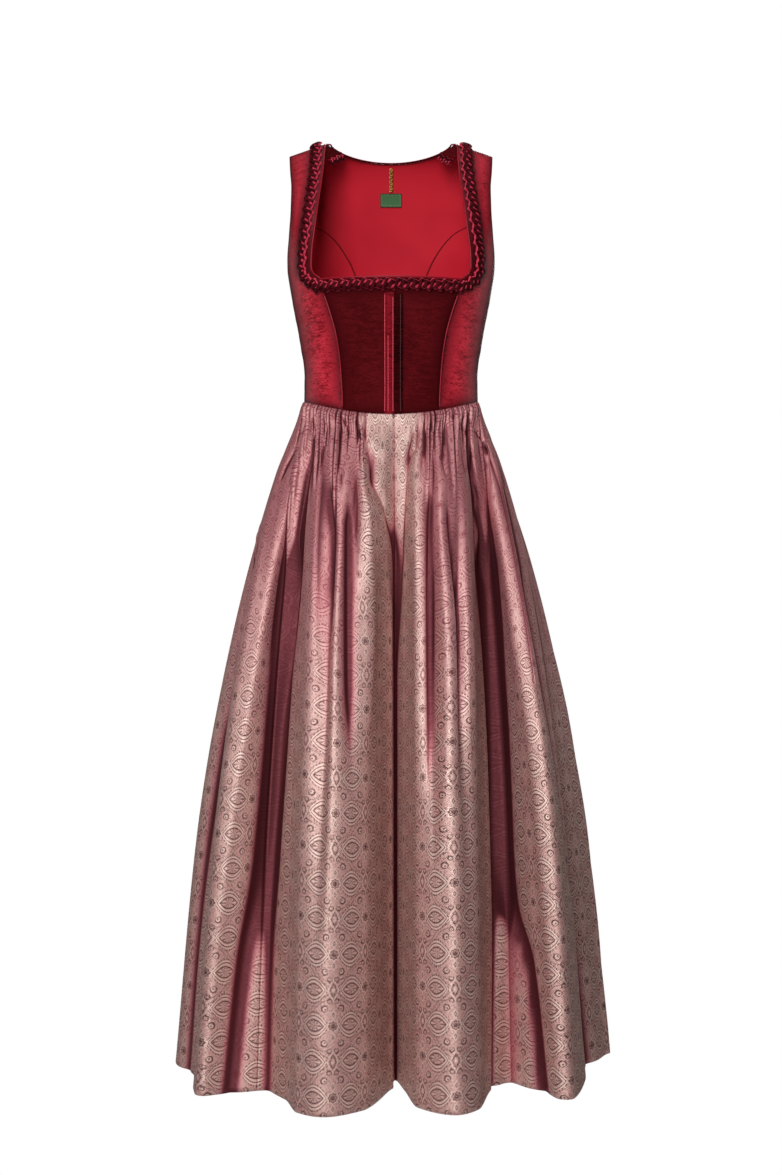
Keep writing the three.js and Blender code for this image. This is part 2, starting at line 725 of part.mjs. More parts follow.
function troughDepth(waist, drop) {
  return TROUGHS.reduce((sum, { waist: at, wide, deep, start, end }) => {
    const across = Math.exp(-(((waist - at) / wide) ** 2));
    const middle = lerp(start, end, 0.4);
    const down = smoothstep(drop, start, middle) * (1 - smoothstep(drop, middle, end));
    return sum + deep * across * down;
  }, 0);
}

// A point of the skirt's middle surface for a column and a drop below the waist seam.
function skirtPoint({ waist, wave, number }, drop) {
  const side = Math.abs(waist) <= 90 ? FRONT : BACK;
  const fromMiddle = side === FRONT ? waist : Math.sign(waist) * (180 - Math.abs(waist));
  const seamDrop = dropOf(side, WAIST_DROP, fromMiddle);
  const seam = torso(side, fromMiddle, seamDrop);
  const turn = degToRad(waist);
  const out = vector(Math.sin(turn), -Math.cos(turn), 0);
  const share = flareAt(drop);
  const belly = bellyAt(waist) * Math.sin(Math.PI * clamp(drop / BELLY_END, 0, 1)) ** 2;
  const point = vector(
    lerp(seam.x, hemX(waist), share),
    lerp(seam.y, hemY(waist), share) - belly,
    -lerp(seamDrop, HEM_DROP, drop / SKIRT_LENGTH) - (drop === 0 ? SEAM_GAP : 0),
  );
  const lift = SKIRT_TUCK + wave * gatherHeight(number, drop) - troughDepth(waist, drop);
  return point.addScaledVector(out, lift);
}

// Offsets that keep the wall's thickness in its bends: the mean of the neighbouring faces'
// normals, lengthened where they fold.
function bendOffsets(ring, closed) {
  const count = ring[0].length;
  const wrap = (j) => (closed ? (j + count) % count : clamp(j, 0, count - 1));
  return ring.map((row, i) =>
    row.map((point, j) => {
      const up = ring[Math.max(0, i - 1)][j];
      const down = ring[Math.min(ring.length - 1, i + 1)][j];
      const fall = down.clone().sub(up);
      const faces = [
        [wrap(j - 1), j],
        [j, wrap(j + 1)],
      ].map(([a, b]) => fall.clone().cross(row[b].clone().sub(row[a])).normalize());
      const mean = faces[0].clone().add(faces[1]).normalize();
      if (i === 0 || i === ring.length - 1) mean.setZ(0).normalize();
      const bend = clamp(mean.dot(faces[0]), 0.6, 1);
      return mean.multiplyScalar(JACQUARD / 2 / bend);
    }),
  );
}

function skirt() {
  const columns = [];
  const spans = [];
  let gathered = 0;
  for (const width of WIDTHS) {
    const own = columnsOf(width, gathered);
    gathered += width.gathers;
    if (columns.length) columns.pop();
    const first = columns.length;
    columns.push(...own);
    spans.push({ name: width.name, first, last: columns.length - 1 });
  }
  columns.pop(); // the last column is the first again
  const ring = SKIRT_ROWS.map((drop) => columns.map((column) => skirtPoint(column, drop)));
  const offsets = bendOffsets(ring, true);
  for (const { name, first, last } of spans) {
    const pick = (row) =>
      along(first, last, last - first).map((j) => row[Math.round(j) % columns.length]);
    const points = ring.map((row) => {
      const own = pick(row).map((point) => point.clone());
      const inward = (point, next) =>
        point.addScaledVector(next.clone().sub(point).normalize(), HALF_GAP);
      inward(own[0], own[1]);
      inward(own.at(-1), own.at(-2));
      return own;
    });
    add(name, "jacquard", wall(points, offsets.map(pick)));
  }
}

bodice();
trims();
shoulderCorners();
labelAndChain();
skirt();

export default model;
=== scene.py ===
# %% [markdown]
# # A dirndl, sewn in Blender
#
# A dirndl is a fitted velvet bodice with a wide square neckline, sewn to a long gathered skirt.
# This lesson dresses a finished construction model: the model gives every cloth piece its place,
# and Blender gives it its weave, nap, creases and trimmings. Each piece is cut as a flat grid,
# laid over the body by a few formulas, given its thickness and finished with its own cloth.
#
# Lengths in the tables are in millimetres, as on a cutting table. MM turns them into Blender's
# metres. +Z is up, -Y is the front, and +X is the wearer's left.

# %% Open the frame
import math

import bpy
import numpy as np
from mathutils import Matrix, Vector


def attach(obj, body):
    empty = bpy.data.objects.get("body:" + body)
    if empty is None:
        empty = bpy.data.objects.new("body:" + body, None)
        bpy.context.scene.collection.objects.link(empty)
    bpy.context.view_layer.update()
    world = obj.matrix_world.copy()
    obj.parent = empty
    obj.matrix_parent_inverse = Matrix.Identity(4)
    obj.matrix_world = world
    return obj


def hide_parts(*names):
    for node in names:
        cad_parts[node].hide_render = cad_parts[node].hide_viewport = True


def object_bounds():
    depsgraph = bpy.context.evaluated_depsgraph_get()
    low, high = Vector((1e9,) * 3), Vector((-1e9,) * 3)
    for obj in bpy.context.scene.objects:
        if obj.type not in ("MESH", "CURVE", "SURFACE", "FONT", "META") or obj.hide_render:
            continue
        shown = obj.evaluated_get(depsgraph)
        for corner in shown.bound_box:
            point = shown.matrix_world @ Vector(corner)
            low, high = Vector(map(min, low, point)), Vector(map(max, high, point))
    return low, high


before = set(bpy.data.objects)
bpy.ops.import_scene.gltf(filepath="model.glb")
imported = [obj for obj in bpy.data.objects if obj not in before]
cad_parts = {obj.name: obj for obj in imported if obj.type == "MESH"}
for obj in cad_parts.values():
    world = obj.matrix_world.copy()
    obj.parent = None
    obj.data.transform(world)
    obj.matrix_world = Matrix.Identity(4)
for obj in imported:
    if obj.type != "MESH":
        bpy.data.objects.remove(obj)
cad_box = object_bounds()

MM = 0.001
print("nodes in the frame:", len(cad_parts))

# %% [markdown]
# ## The camera, the light and the floor
#
# The dress is seen from straight in front, by a camera that is level with the upper skirt. A
# long lens three metres away keeps the hem's near rolls from looking too large. The light is
# plain: one tall softbox in front, a weaker one behind for the back, and faint ones above and
# at the sides. The dress is held up by its shoulders, so the pale round floor lies some way
# under the hem.

# %% Camera
IMAGE = {"width": 782, "height": 1175}
FOCAL_PIXELS = 2000
CAMERA_PLACE = (0, -3000 * MM, -664 * MM)
SENSOR = 36  # the long side, which stands upright here

bpy.ops.object.select_all(action="DESELECT")
bpy.ops.object.camera_add(location=CAMERA_PLACE, rotation=(math.radians(90), 0, 0))
camera = bpy.context.object
camera.name = "camera"
camera.data.sensor_fit = "AUTO"
camera.data.sensor_width = SENSOR
camera.data.lens = FOCAL_PIXELS * SENSOR / IMAGE["height"]
camera.data.clip_end = 50
bpy.context.scene.camera = camera
print("lens", round(camera.data.lens, 1), "mm")


# %% Softboxes
LIGHTS = [
    # name, place, what it points at, size across and down, power
    ("front softbox", (-0.6, -3.7, 0.6), (0, 0, -0.66), (1.3, 2.4), 145),
    ("back softbox", (0.6, 3.6, 1.3), (0, 0, -0.7), (1.6, 2.2), 105),
    ("top light", (0, -0.4, 3.4), (0, 0, -0.5), (1.8, 1.8), 30),
    ("right fill", (-3.3, 1.9, 0.4), (0, 0, -0.7), (1.6, 2.2), 12),
    ("left fill", (3.3, 1.9, 0.4), (0, 0, -0.7), (1.6, 2.2), 12),
]
for name, place, target, (wide, high), power in LIGHTS:
    turn = (Vector(target) - Vector(place)).to_track_quat("-Z", "Y").to_euler()
    bpy.ops.object.light_add(type="AREA", location=place, rotation=turn)
    light = bpy.context.object
    light.name = name
    light.data.shape = "RECTANGLE"
    light.data.size, light.data.size_y = wide, high
    light.data.energy = power
print(len(LIGHTS), "lights")

# %% Room
# The room's walls are white to look at, and dim as a source of light, as in a large studio
# where they stand far away.
room = bpy.data.worlds.new("pale room")
room.use_nodes = True
room_nodes, room_links = room.node_tree.nodes, room.node_tree.links
dim = room_nodes["Background"]
dim.inputs["Color"].default_value = (1, 0.98, 0.97, 1)
dim.inputs["Strength"].default_value = 0.05
white = room_nodes.new("ShaderNodeBackground")
white.inputs["Color"].default_value = (1, 1, 1, 1)
rays = room_nodes.new("ShaderNodeLightPath")
either = room_nodes.new("ShaderNodeMixShader")
room_links.new(rays.outputs["Is Camera Ray"], either.inputs[0])
room_links.new(dim.outputs[0], either.inputs[1])
room_links.new(white.outputs[0], either.inputs[2])
room_links.new(either.outputs[0], room_nodes["World Output"].inputs["Surface"])
bpy.context.scene.world = room
bpy.context.scene.view_settings.view_transform = "Standard"

# %% Floor
FLOOR_UNDER_HEM, FLOOR_RADIUS = 600 * MM, 1.3
bpy.ops.object.select_all(action="DESELECT")
bpy.ops.mesh.primitive_circle_add(
    vertices=96,
    radius=FLOOR_RADIUS,
    fill_type="NGON",
    location=(0, 0, cad_box[0].z - FLOOR_UNDER_HEM),
)
floor = bpy.context.object
floor.name = "studio_floor"
paper = bpy.data.materials.new("floor paper")
paper.use_nodes = True
paper_shader = paper.node_tree.nodes["Principled BSDF"]
paper_shader.inputs["Base Color"].default_value = (0.80, 0.80, 0.79, 1)
paper_shader.inputs["Roughness"].default_value = 1.0
paper_shader.inputs["Specular IOR Level"].default_value = 0.0
floor.data.materials.append(paper)
print("floor at", round(floor.location.z, 3), "m")


# %% [markdown]
# ## Reading the tables
#
# A dressmaker keeps a body in a few measures and draws the rest as smooth curves between them.
# The tables below do the same: each has named columns, and reader() draws a smooth curve through
# one of them that never bulges past its rows.


# %% Tables and curves
def table(columns, *rows):
    """Rows of numbers with named columns."""
    return [dict(zip(columns.split(), row)) for row in rows]


def reader(rows, place, column):
    """A smooth curve through one column of a table, read at any place in another."""
    at = np.array([row[place] for row in rows], float)
    value = np.array([row[column] for row in rows], float)
    slope = np.diff(value) / np.diff(at)
    tangent = np.concatenate([slope[:1], np.zeros(len(slope) - 1), slope[-1:]])
    before, after = slope[:-1], slope[1:]
    same_way = before * after > 0
    mean = 2 * before * after / np.where(same_way, before + after, 1)
    tangent[1:-1] = np.where(same_way, mean, 0)

    def read(x):
        x = np.clip(x, at[0], at[-1])
        i = np.clip(np.searchsorted(at, x) - 1, 0, len(slope) - 1)
        width = at[i + 1] - at[i]
        t = (x - at[i]) / width
        rest = 1 - t
        return (
            value[i] * (1 + 2 * t) * rest**2
            + tangent[i] * width * t * rest**2
            + value[i + 1] * t * t * (3 - 2 * t)
            - tangent[i + 1] * width * t * t * rest
        )

    return read


def smooth(x, low, high):
    """Rises softly from 0 at low to 1 at high."""
    t = np.clip((x - low) / (high - low), 0, 1)
    return t * t * (3 - 2 * t)


def lerp(a, b, t):
    """The way from a to b, gone by the share t."""
    return a + (b - a) * t


def unit(v):
    return v / np.maximum(np.linalg.norm(v, axis=-1, keepdims=True), 1e-9)


# %% [markdown]
# ## The body that the bodice is cut for
#
# Near the shoulder the body turns over like the top of a ball, so its depth grows with the root
# of the drop. The section between is a squared ellipse. torso() gives any point of that surface,
# by its side (front or back), its angle from the middle of that side, and its drop.

# %% Sizes of the body
SEAM_GAP = 0.3
VELVET = 1.4
LINING = 1.0
JACQUARD = 1.2
WAIST_DROP, WAIST_DIP, BACK_WAIST_DIP = 387, 25, 3
HEM_DROP = 1374
BEND_DROP = 300
CLOSURE_X = 4
NECK_HALF, STRAP_END = 101, 152
SHOULDER_SLOPE, SLOPE_FADE = 18, 150
BACK_NECK_DIP, BACK_NECK_HALF, BACK_NECK_BLEND = 17, 92, 60
UNDERARM, NECK_CORNER, BACK_SEAM_TOP = 195, 217, 97
FRONT, BACK = -1, 1
SIDES = (("right", -1), ("left", 1))

TORSO = table(
    "drop half front back power",
    (0, 168, 0, 0, 0.78),
    (12, 171, 22, 54, 0.78),
    (30, 175, 38, 71, 0.78),
    (60, 178, 57, 85, 0.79),
    (100, 175, 76, 97, 0.80),
    (150, 161, 97, 106, 0.86),
    (195, 154.5, 112, 109, 0.92),
    (240, 147, 120, 106, 0.95),
    (293, 137, 114, 98, 0.96),
    (350, 129.5, 102, 94, 0.97),
    (387, 130, 98, 96, 0.98),
    (410, 133, 97, 99, 0.98),
)
for row in TORSO:
    row["root"] = math.sqrt(row["drop"])
half_at = reader(TORSO, "root", "half")
front_at = reader(TORSO, "root", "front")
back_at = reader(TORSO, "root", "back")
power_at = reader(TORSO, "root", "power")

FRONT_EDGE = table(
    "level x",
    *((0, 101), (30, 101.5), (65, 104.5), (105, 109.5), (145, 114.5), (175, 118)),
    *((195, 118.5), (206, 115), (213, 107), (217, 102), (235, 97), (262, 88)),
    *((295, 79), (325, 74), (355, 71), (387, 69)),
)
ARMHOLE = table(
    "level x",
    *((0, 152), (30, 150), (65, 147.5), (105, 148), (145, 151), (175, 154), (195, 154.5)),
)
BACK_SEAM = table(
    "level x",
    *((97, 146), (108, 118), (118, 99), (132, 84), (150, 71), (168, 61)),
    *((195, 51.5), (225, 46), (262, 42), (300, 40), (387, 38)),
)
front_edge = reader(FRONT_EDGE, "level", "x")
armhole_x = reader(ARMHOLE, "level", "x")
back_seam = reader(BACK_SEAM, "level", "x")


# %% Points of the body
def torso(side, angle, drop):
    root = np.sqrt(drop)
    turn = np.radians(angle)
    power = power_at(root)
    x = half_at(root) * np.sign(turn) * np.abs(np.sin(turn)) ** power
    depth = np.where(np.equal(side, FRONT), front_at(root), back_at(root))
    y = side * (depth * np.abs(np.cos(turn)) ** power + SEAM_GAP / 2)
    beyond = np.maximum(0, np.abs(x) - NECK_HALF) / (STRAP_END - NECK_HALF)
    fall = SHOULDER_SLOPE * beyond * (1 - smooth(drop, 0, SLOPE_FADE))
    return np.stack(np.broadcast_arrays(x, y, -drop - fall), -1)


def angle_of(x, drop):
    root = np.sqrt(drop)
    share = np.minimum(1, np.abs(x) / half_at(root))
    return np.sign(x) * np.degrees(np.arcsin(share ** (1 / power_at(root))))


def torso_normal(side, angle, drop):
    turn, step = 0.4, 0.04
    root = np.sqrt(drop)
    low, high = np.clip(angle - turn, -90, 90), np.clip(angle + turn, -90, 90)
    across = torso(side, high, drop) - torso(side, low, drop)
    down = torso(side, angle, (root + step) ** 2)
    down = down - torso(side, angle, np.maximum(0, root - step) ** 2)
    return unit(np.cross(down, across) * -np.asarray(side)[..., None])


def drop_of(side, level, angle):
    """A level bends to follow the waist seam below and the back neckline above."""
    middle = np.cos(np.radians(angle)) ** 2
    dip = np.where(np.equal(side, FRONT), WAIST_DIP, BACK_WAIST_DIP) * middle
    waist = dip * np.maximum(0, level - BEND_DROP) / (WAIST_DROP - BEND_DROP)
    x = np.minimum(1, np.abs(torso(side, angle, np.zeros_like(angle))[..., 0]) / BACK_NECK_HALF)
    near = np.maximum(0, 1 - level / BACK_NECK_BLEND) ** 2
    neck = np.where(np.equal(side, BACK), BACK_NECK_DIP * (1 - x**2) * near, 0)
    return level + waist + neck


def body_place(side, x, level):
    """A point of the body and the direction away from it there."""
    angle = angle_of(x, level)
    drop = drop_of(side, level, angle)
    return torso(side, angle, drop), torso_normal(side, angle, drop)


print("waist half", round(float(half_at(math.sqrt(WAIST_DROP))), 1), "mm")


# %% [markdown]
# ## Cutting and laying a piece of cloth
#
# Every piece starts as the flat grid that bpy's primitive gives, like cloth on the table. A
# function then says where each point of it lies on the body. The flat place is kept as the UV
# map, so that the weave and the pattern follow the cloth. Solidify gives it its thickness.


# %% Cloth from a grid
def cloth(name, columns, rows, lay, thick, sharp=50):
    """Lays a flat grid by lay(across, down), which gives places and flat places in mm.

    A third value that lay() may give is kept as the attribute "edge", for the materials, which
    paint shade from it along edges, in furrows and in hollows, and draw seams and borders with it."""
    bpy.ops.object.select_all(action="DESELECT")
    bpy.ops.mesh.primitive_grid_add(x_subdivisions=columns, y_subdivisions=rows, size=1)
    piece = bpy.context.object
    piece.name = name
    mesh = piece.data
    flat = np.empty(len(mesh.vertices) * 3, np.float32)
    mesh.vertices.foreach_get("co", flat)
    flat = flat.reshape(-1, 3)
    across, down = flat[:, 0] + 0.5, 0.5 - flat[:, 1]
    order = np.lexsort((across.round(6), down.round(6)))
    shape = (len(np.unique(down.round(6))), len(np.unique(across.round(6))))
    inputs = (values[order].reshape(shape).astype(float) for values in (across, down))
    places, cut, *marks = lay(*inputs)
    co = np.empty((len(order), 3), np.float32)
    co[order] = places.reshape(-1, 3) * MM
    mesh.vertices.foreach_set("co", co.ravel())
    on_table = np.empty((len(order), 2), np.float32)
    on_table[order] = cut.reshape(-1, 2) * MM
    corner = np.empty(len(mesh.loops), np.int32)
    mesh.loops.foreach_get("vertex_index", corner)
    mesh.uv_layers[0].name = "cut"
    mesh.uv_layers[0].data.foreach_set("uv", on_table[corner].ravel())
    edge = np.zeros(len(order), np.float32)
    if marks:
        edge[order] = marks[0].reshape(-1)
    mesh.attributes.new("edge", "FLOAT", "POINT").data.foreach_set("value", edge)
    mesh.update()
    if thick:
        wall = piece.modifiers.new("thickness", "SOLIDIFY")
        wall.thickness = thick * MM
        wall.offset = 0
        bpy.ops.object.modifier_apply(modifier=wall.name)
    bpy.ops.object.shade_smooth_by_angle(angle=math.radians(sharp))
    return piece


def register(piece, material, node=None):
    """Gives a piece its material and its body, and hides the node of the frame that it stands for.
    """
    piece.data.materials.clear()
    piece.data.materials.append(material)
    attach(piece, "root")
    if node:
        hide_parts(node)


def area_of(piece):
    """The cloth's own area in square metres: half of its closed wall."""
    return sum(face.area for face in piece.data.polygons) / 2


# %% [markdown]
# ## Materials from small sums
#
# Weaves and nap are patterns of sums, sines and distances. Writing each Math node by hand hides
# the idea, so Wire lets a socket be added, multiplied and compared like a number, and makes the
# nodes itself.


# %% Wires
def maths(kind):
    """A method of Wire that makes one Math node of this kind."""
    return lambda wire, *others: wire.math(kind, *others)


class Wire:
    """One output socket that sums like a number."""

    def __init__(self, tree, socket):
        self.tree, self.socket = tree, socket

    def math(self, kind, *others, clamp=False):
        node = self.tree.nodes.new("ShaderNodeMath")
        node.operation, node.use_clamp = kind, clamp
        for slot, value in zip(node.inputs, (self, *others)):
            plug(self.tree, value, slot)
        return Wire(self.tree, node.outputs[0])

    __add__, __sub__ = maths("ADD"), maths("SUBTRACT")
    __mul__, __truediv__ = maths("MULTIPLY"), maths("DIVIDE")
    sin, cos, angle = maths("SINE"), maths("COSINE"), maths("ARCTAN2")
    abs, sqrt, fract = maths("ABSOLUTE"), maths("SQRT"), maths("FRACT")
    most = maths("MAXIMUM")

    def ramp(self, low, high, to_low=0.0, to_high=1.0):
        node = self.tree.nodes.new("ShaderNodeMapRange")
        node.interpolation_type = "SMOOTHSTEP"
        for slot, value in zip(node.inputs, (self, low, high, to_low, to_high)):
            plug(self.tree, value, slot)
        return Wire(self.tree, node.outputs[0])


def plug(tree, value, slot):
    if isinstance(value, Wire):
        tree.links.new(value.socket, slot)
    else:
        slot.default_value = value


def hypot(x, y):
    return (x * x + y * y).sqrt()


def mix_colour(tree, share, low, high):
    """From the colour low to the colour high by share; either may be a Wire."""
    node = tree.nodes.new("ShaderNodeMix")
    node.data_type = "RGBA"
    plug(tree, share, node.inputs["Factor"])
    for name, value in (("A", low), ("B", high)):
        slot = next(s for s in node.inputs if s.name == name and s.type == "RGBA")
        plug(tree, value if isinstance(value, Wire) else (*value, 1), slot)
    return Wire(tree, next(s for s in node.outputs if s.type == "RGBA"))


def noise(tree, vector, scale, detail=2.0, roughness=0.5, stretch=None, turn=None):
    """Soft noise on a vector, stretched and turned by a Mapping node if asked."""
    if stretch or turn:
        mapping = tree.nodes.new("ShaderNodeMapping")
        plug(tree, vector, mapping.inputs["Vector"])
        mapping.inputs["Scale"].default_value = stretch or (1, 1, 1)
        mapping.inputs["Rotation"].default_value = turn or (0, 0, 0)
        vector = Wire(tree, mapping.outputs[0])
    node = tree.nodes.new("ShaderNodeTexNoise")
    plug(tree, vector, node.inputs["Vector"])
    node.inputs["Scale"].default_value = scale
    node.inputs["Detail"].default_value = detail
    node.inputs["Roughness"].default_value = roughness
    return Wire(tree, node.outputs["Fac"])


def coordinates(tree):
    """The cut cloth's own UV map, and its two flat coordinates in millimetres."""
    place = tree.nodes.new("ShaderNodeTexCoord")
    flat = tree.nodes.new("ShaderNodeSeparateXYZ")
    tree.links.new(place.outputs["UV"], flat.inputs[0])
    across, down = (Wire(tree, flat.outputs[axis]) * (1 / MM) for axis in (0, 1))
    return Wire(tree, place.outputs["UV"]), across, down


def edge_mark(tree):
    """The value that cloth() keeps on a piece as the attribute "edge"."""
    node = tree.nodes.new("ShaderNodeAttribute")
    node.attribute_name = "edge"
    return Wire(tree, node.outputs["Fac"])


def new_material(name, **values):
    """A Principled material with plain values set on the shader's own sockets."""
    material = bpy.data.materials.new(name)
    material.use_nodes = True
    shader = material.node_tree.nodes["Principled BSDF"]
    for socket, value in values.items():
        shader.inputs[socket.replace("_", " ")].default_value = value
    return material, material.node_tree, shader


def plain_material(name, **values):
    return new_material(name, **values)[0]


def set_bump(tree, shader, height, strength, distance):
    """Relief too fine for the mesh, on the shader's Normal."""
    bump = tree.nodes.new("ShaderNodeBump")
    bump.inputs["Strength"].default_value = strength
    bump.inputs["Distance"].default_value = distance
    plug(tree, height, bump.inputs["Height"])
    tree.links.new(bump.outputs[0], shader.inputs["Normal"])


# %% [markdown]
# ## Velvet
#
# Velvet is a pile of short upright threads. Its colour runs from deep and dark to light in small
# broken streaks: partly the uneven lie of the pile, partly a painted highlight, the light colour
# standing in for the sheen where the pile catches the light. Towards edges and seams it is
# painted darker, a painted shade. One node group makes those streaks and serves the bright side
# panels, the dark centre panels and the trims, each with its own strength. The rest of the sheen
# stays on the shader.


# %% Nap group
def group_socket(group, name, way, kind):
    return group.interface.new_socket(name=name, in_out=way, socket_type=kind)


nap = bpy.data.node_groups.new("brushed nap", "ShaderNodeTree")
group_socket(nap, "Vector", "INPUT", "NodeSocketVector")
group_socket(nap, "Nap", "OUTPUT", "NodeSocketFloat")
group_socket(nap, "Pile", "OUTPUT", "NodeSocketFloat")
nap_in, nap_out = nap.nodes.new("NodeGroupInput"), nap.nodes.new("NodeGroupOutput")
cut_place = Wire(nap, nap_in.outputs[0])
clouds = noise(nap, cut_place, 14, 3, 0.6, stretch=(1, 0.6, 1))
streaks = noise(nap, cut_place, 170, 4, 0.8, stretch=(0.30, 1, 1), turn=(0, 0, 0.09))
flecks = noise(nap, cut_place, 480, 2, 0.6, stretch=(0.4, 1, 1))
# the streaks: the pile's uneven lie, with their light side a painted highlight
pile_and_sheen = (streaks - 0.5) * 2.4 + (flecks - 0.5) * 1.5 + (clouds - 0.5) * 1.5 + 0.5
plug(nap, pile_and_sheen.ramp(0.0, 1.0), nap_out.inputs["Nap"])
plug(nap, noise(nap, cut_place, 2600, 2, 0.7), nap_out.inputs["Pile"])
print("nap group of", len(nap.nodes), "nodes")


def brushed_nap(tree, vector):
    node = tree.nodes.new("ShaderNodeGroup")
    node.node_tree = nap
    plug(tree, vector, node.inputs["Vector"])
    return Wire(tree, node.outputs["Nap"]), Wire(tree, node.outputs["Pile"])


# %% Velvet materials
EDGE_SHADE_SHARE = 0.22  # the darkest painted shade at an edge, as a share of the deep colour
RAGGED = 0.55  # how far the nap breaks up that painted shade


def velvet(name, deep, light, edge_shade=0.0, bump=0.35, **values):
    """deep and light are the pile's two colours, light partly a painted highlight.

    edge_shade is the strength of a painted shade towards the piece's edges and seams.
    """
    material, tree, shader = new_material(name, **values)
    uv, _, _ = coordinates(tree)
    pile_and_sheen, pile = brushed_nap(tree, uv)
    colour = mix_colour(tree, pile_and_sheen, deep, light)
    # painted shade: darker towards the piece's edges and seams, broken up by the streaks
    if edge_shade:
        edge = edge_mark(tree)
        ragged = edge + (pile_and_sheen - 0.5) * RAGGED * edge.ramp(0, 0.3)
        ragged = ragged.math("MULTIPLY", edge_shade, clamp=True)
        colour = mix_colour(tree, ragged, colour, tuple(c * EDGE_SHADE_SHARE for c in deep))
    plug(tree, colour, shader.inputs["Base Color"])
    set_bump(tree, shader, pile_and_sheen * 0.7 + pile * 0.3, bump, 0.6 * MM)
    return material


side_velvet = velvet(
    "side velvet",
    deep=(0.19, 0.0025, 0.007),
    light=(0.90, 0.040, 0.075),
    edge_shade=1.0,
    IOR=1.9,
    Roughness=0.5,
    Specular_IOR_Level=0.45,
    Specular_Tint=(1, 0.25, 0.32, 1),
)
DULL_PILE = {
    "bump": 0.2,
    "Roughness": 0.8,
    "Specular_IOR_Level": 0.05,
    "Specular_Tint": (1, 0.4, 0.4, 1),
}
centre_velvet = velvet(
    "centre velvet",
    deep=(0.060, 0.0025, 0.004),
    light=(0.120, 0.006, 0.009),
    edge_shade=0.6,
    **DULL_PILE,
)
print("velvets:", side_velvet.name, "and", centre_velvet.name)

# %% [markdown]
# ## Lining
#
# A plain red cloth lines the back. One flat colour would look like paper, so it gets a fine
# weave and a slow change of tone. The thin dark lines where its three parts meet come from the
# value "edge", which every piece of the bodice keeps for its seams.

# %% Lining
lining_cloth, tree, shader = new_material("lining", Roughness=0.6, Specular_IOR_Level=0.05)
uv, across, down = coordinates(tree)
weave = (across * 9).sin() * (down * 9).sin()
cloudy = noise(tree, uv, 9, 2, 0.5)
colour = mix_colour(tree, cloudy.ramp(0.3, 0.7), (0.46, 0.011, 0.024), (0.56, 0.018, 0.033))
seam_line = edge_mark(tree).ramp(0.86, 0.95)
colour = mix_colour(tree, seam_line * 0.8, colour, (0.06, 0.003, 0.004))
plug(tree, colour, shader.inputs["Base Color"])
set_bump(tree, shader, weave, 0.08, 0.1 * MM)
print(lining_cloth.name, "of", len(tree.nodes), "nodes")

# %% [markdown]
# ## The bodice
#
# Two bright side fronts carry the straps, two dark centre fronts meet at the closure, and the
# back has a centre and two sides. All are fitted, so each is laid straight on the body between
# its two seams. At a seam the cloth is drawn in a little, which makes the line that the eye
# reads as sewing. Along seams and edges the velvet is painted darker, a painted shade, which
# beside the neckline starts where the ruche ends, as the ruche's painted shadow.


# %% A cut piece of the bodice
SEAM_DRAW = 0.55  # how far a seam pulls the cloth in
SEAM_REACH = 2.2
EDGE_SHADE_REACH = 10
FLAT_SHARE = 0.9  # the cut's width round the body, as a share of its half width's arc


def bodice_piece(
    name,
    side,
    levels,
    edges,
    grid,
    lift=0.0,
    thick=VELVET,
    relief=None,
    shaded=(1, 1, 1, 1),
    covered=None,
):
    """Cloth between two levels and two edges; edges(level) gives x at the near and far one.

    grid is its columns and rows, lift its height over the body's surface. shaded weighs the
    painted shade at the four edges, near, far, top and bottom. covered(level) tells how far a trim
    lies over each of them, so that the painted shade starts beside the trim, as its shadow."""
    top, bottom = levels

    def lay(across, down):
        level = lerp(top, bottom, down)
        near_x, far_x = edges(level)
        share = across if side == FRONT else 1 - across
        angle = lerp(angle_of(near_x, level), angle_of(far_x, level), share)
        drop = drop_of(side, level, angle)
        place, normal = torso(side, angle, drop), torso_normal(side, angle, drop)
        x = place[..., 0]
        distances = (np.abs(x - near_x), np.abs(far_x - x), level - top, bottom - level)
        pull = sum(np.exp(-((d / SEAM_REACH) ** 1.5)) for d in distances)
        trims = covered(level) if covered else (0, 0, 0, 0)
        past = [np.maximum(0, d - trim) for d, trim in zip(distances, trims)]
        # painted shade, fading away from each edge and starting beside any trim that covers it
        shade = [w * np.exp(-d / EDGE_SHADE_REACH) for w, d in zip(shaded, past)]
        out = lift - SEAM_DRAW * np.minimum(1, pull)
        if relief:
            out = out + relief(x, level)
        cut = np.stack([np.radians(angle) * half_at(np.sqrt(level)) * FLAT_SHARE, -drop], -1)
        return place + normal * out[..., None], cut, np.max(shade, 0)

    return cloth(name, *grid, lay, thick)


STRAIN_DEPTH, STRAIN_GROWS, STRAIN_FADES = 0.35, (215, 260), (330, 385)


def strain(x, level):
    """Soft wrinkles where the side front is pulled between bust and waist."""
    pull = smooth(level, *STRAIN_GROWS) * (1 - smooth(level, *STRAIN_FADES))
    wave = np.sin(level / 5.5 + x / 17) * np.sin(level / 13 - x / 30 + 1)
    return STRAIN_DEPTH * pull * wave


HALF_GAP = SEAM_GAP / 2
RUCHE_REACH = 18.5  # how far the ruche covers the cloth beside the neckline
RUCHE_LEAVES = (NECK_CORNER - 4, NECK_CORNER + 24)  # where it turns away from the seam


def in_order(sign, inner, outer):
    """Two values given from the middle outwards, in the order near, far."""
    return (inner, outer) if sign > 0 else (outer, inner)


def mirrored(sign, inner, outer):
    """Edges given for the wearer's left, mirrored for the right."""
    return in_order(sign, sign * inner, sign * outer)


def outer_x(level):
    return np.where(level < UNDERARM, armhole_x(level), half_at(np.sqrt(level)))


# the painted shade beside the neckline starts where the ruche ends, as the ruche's painted shadow
def beside_ruche(level):
    return RUCHE_REACH * (1 - smooth(level, *RUCHE_LEAVES))


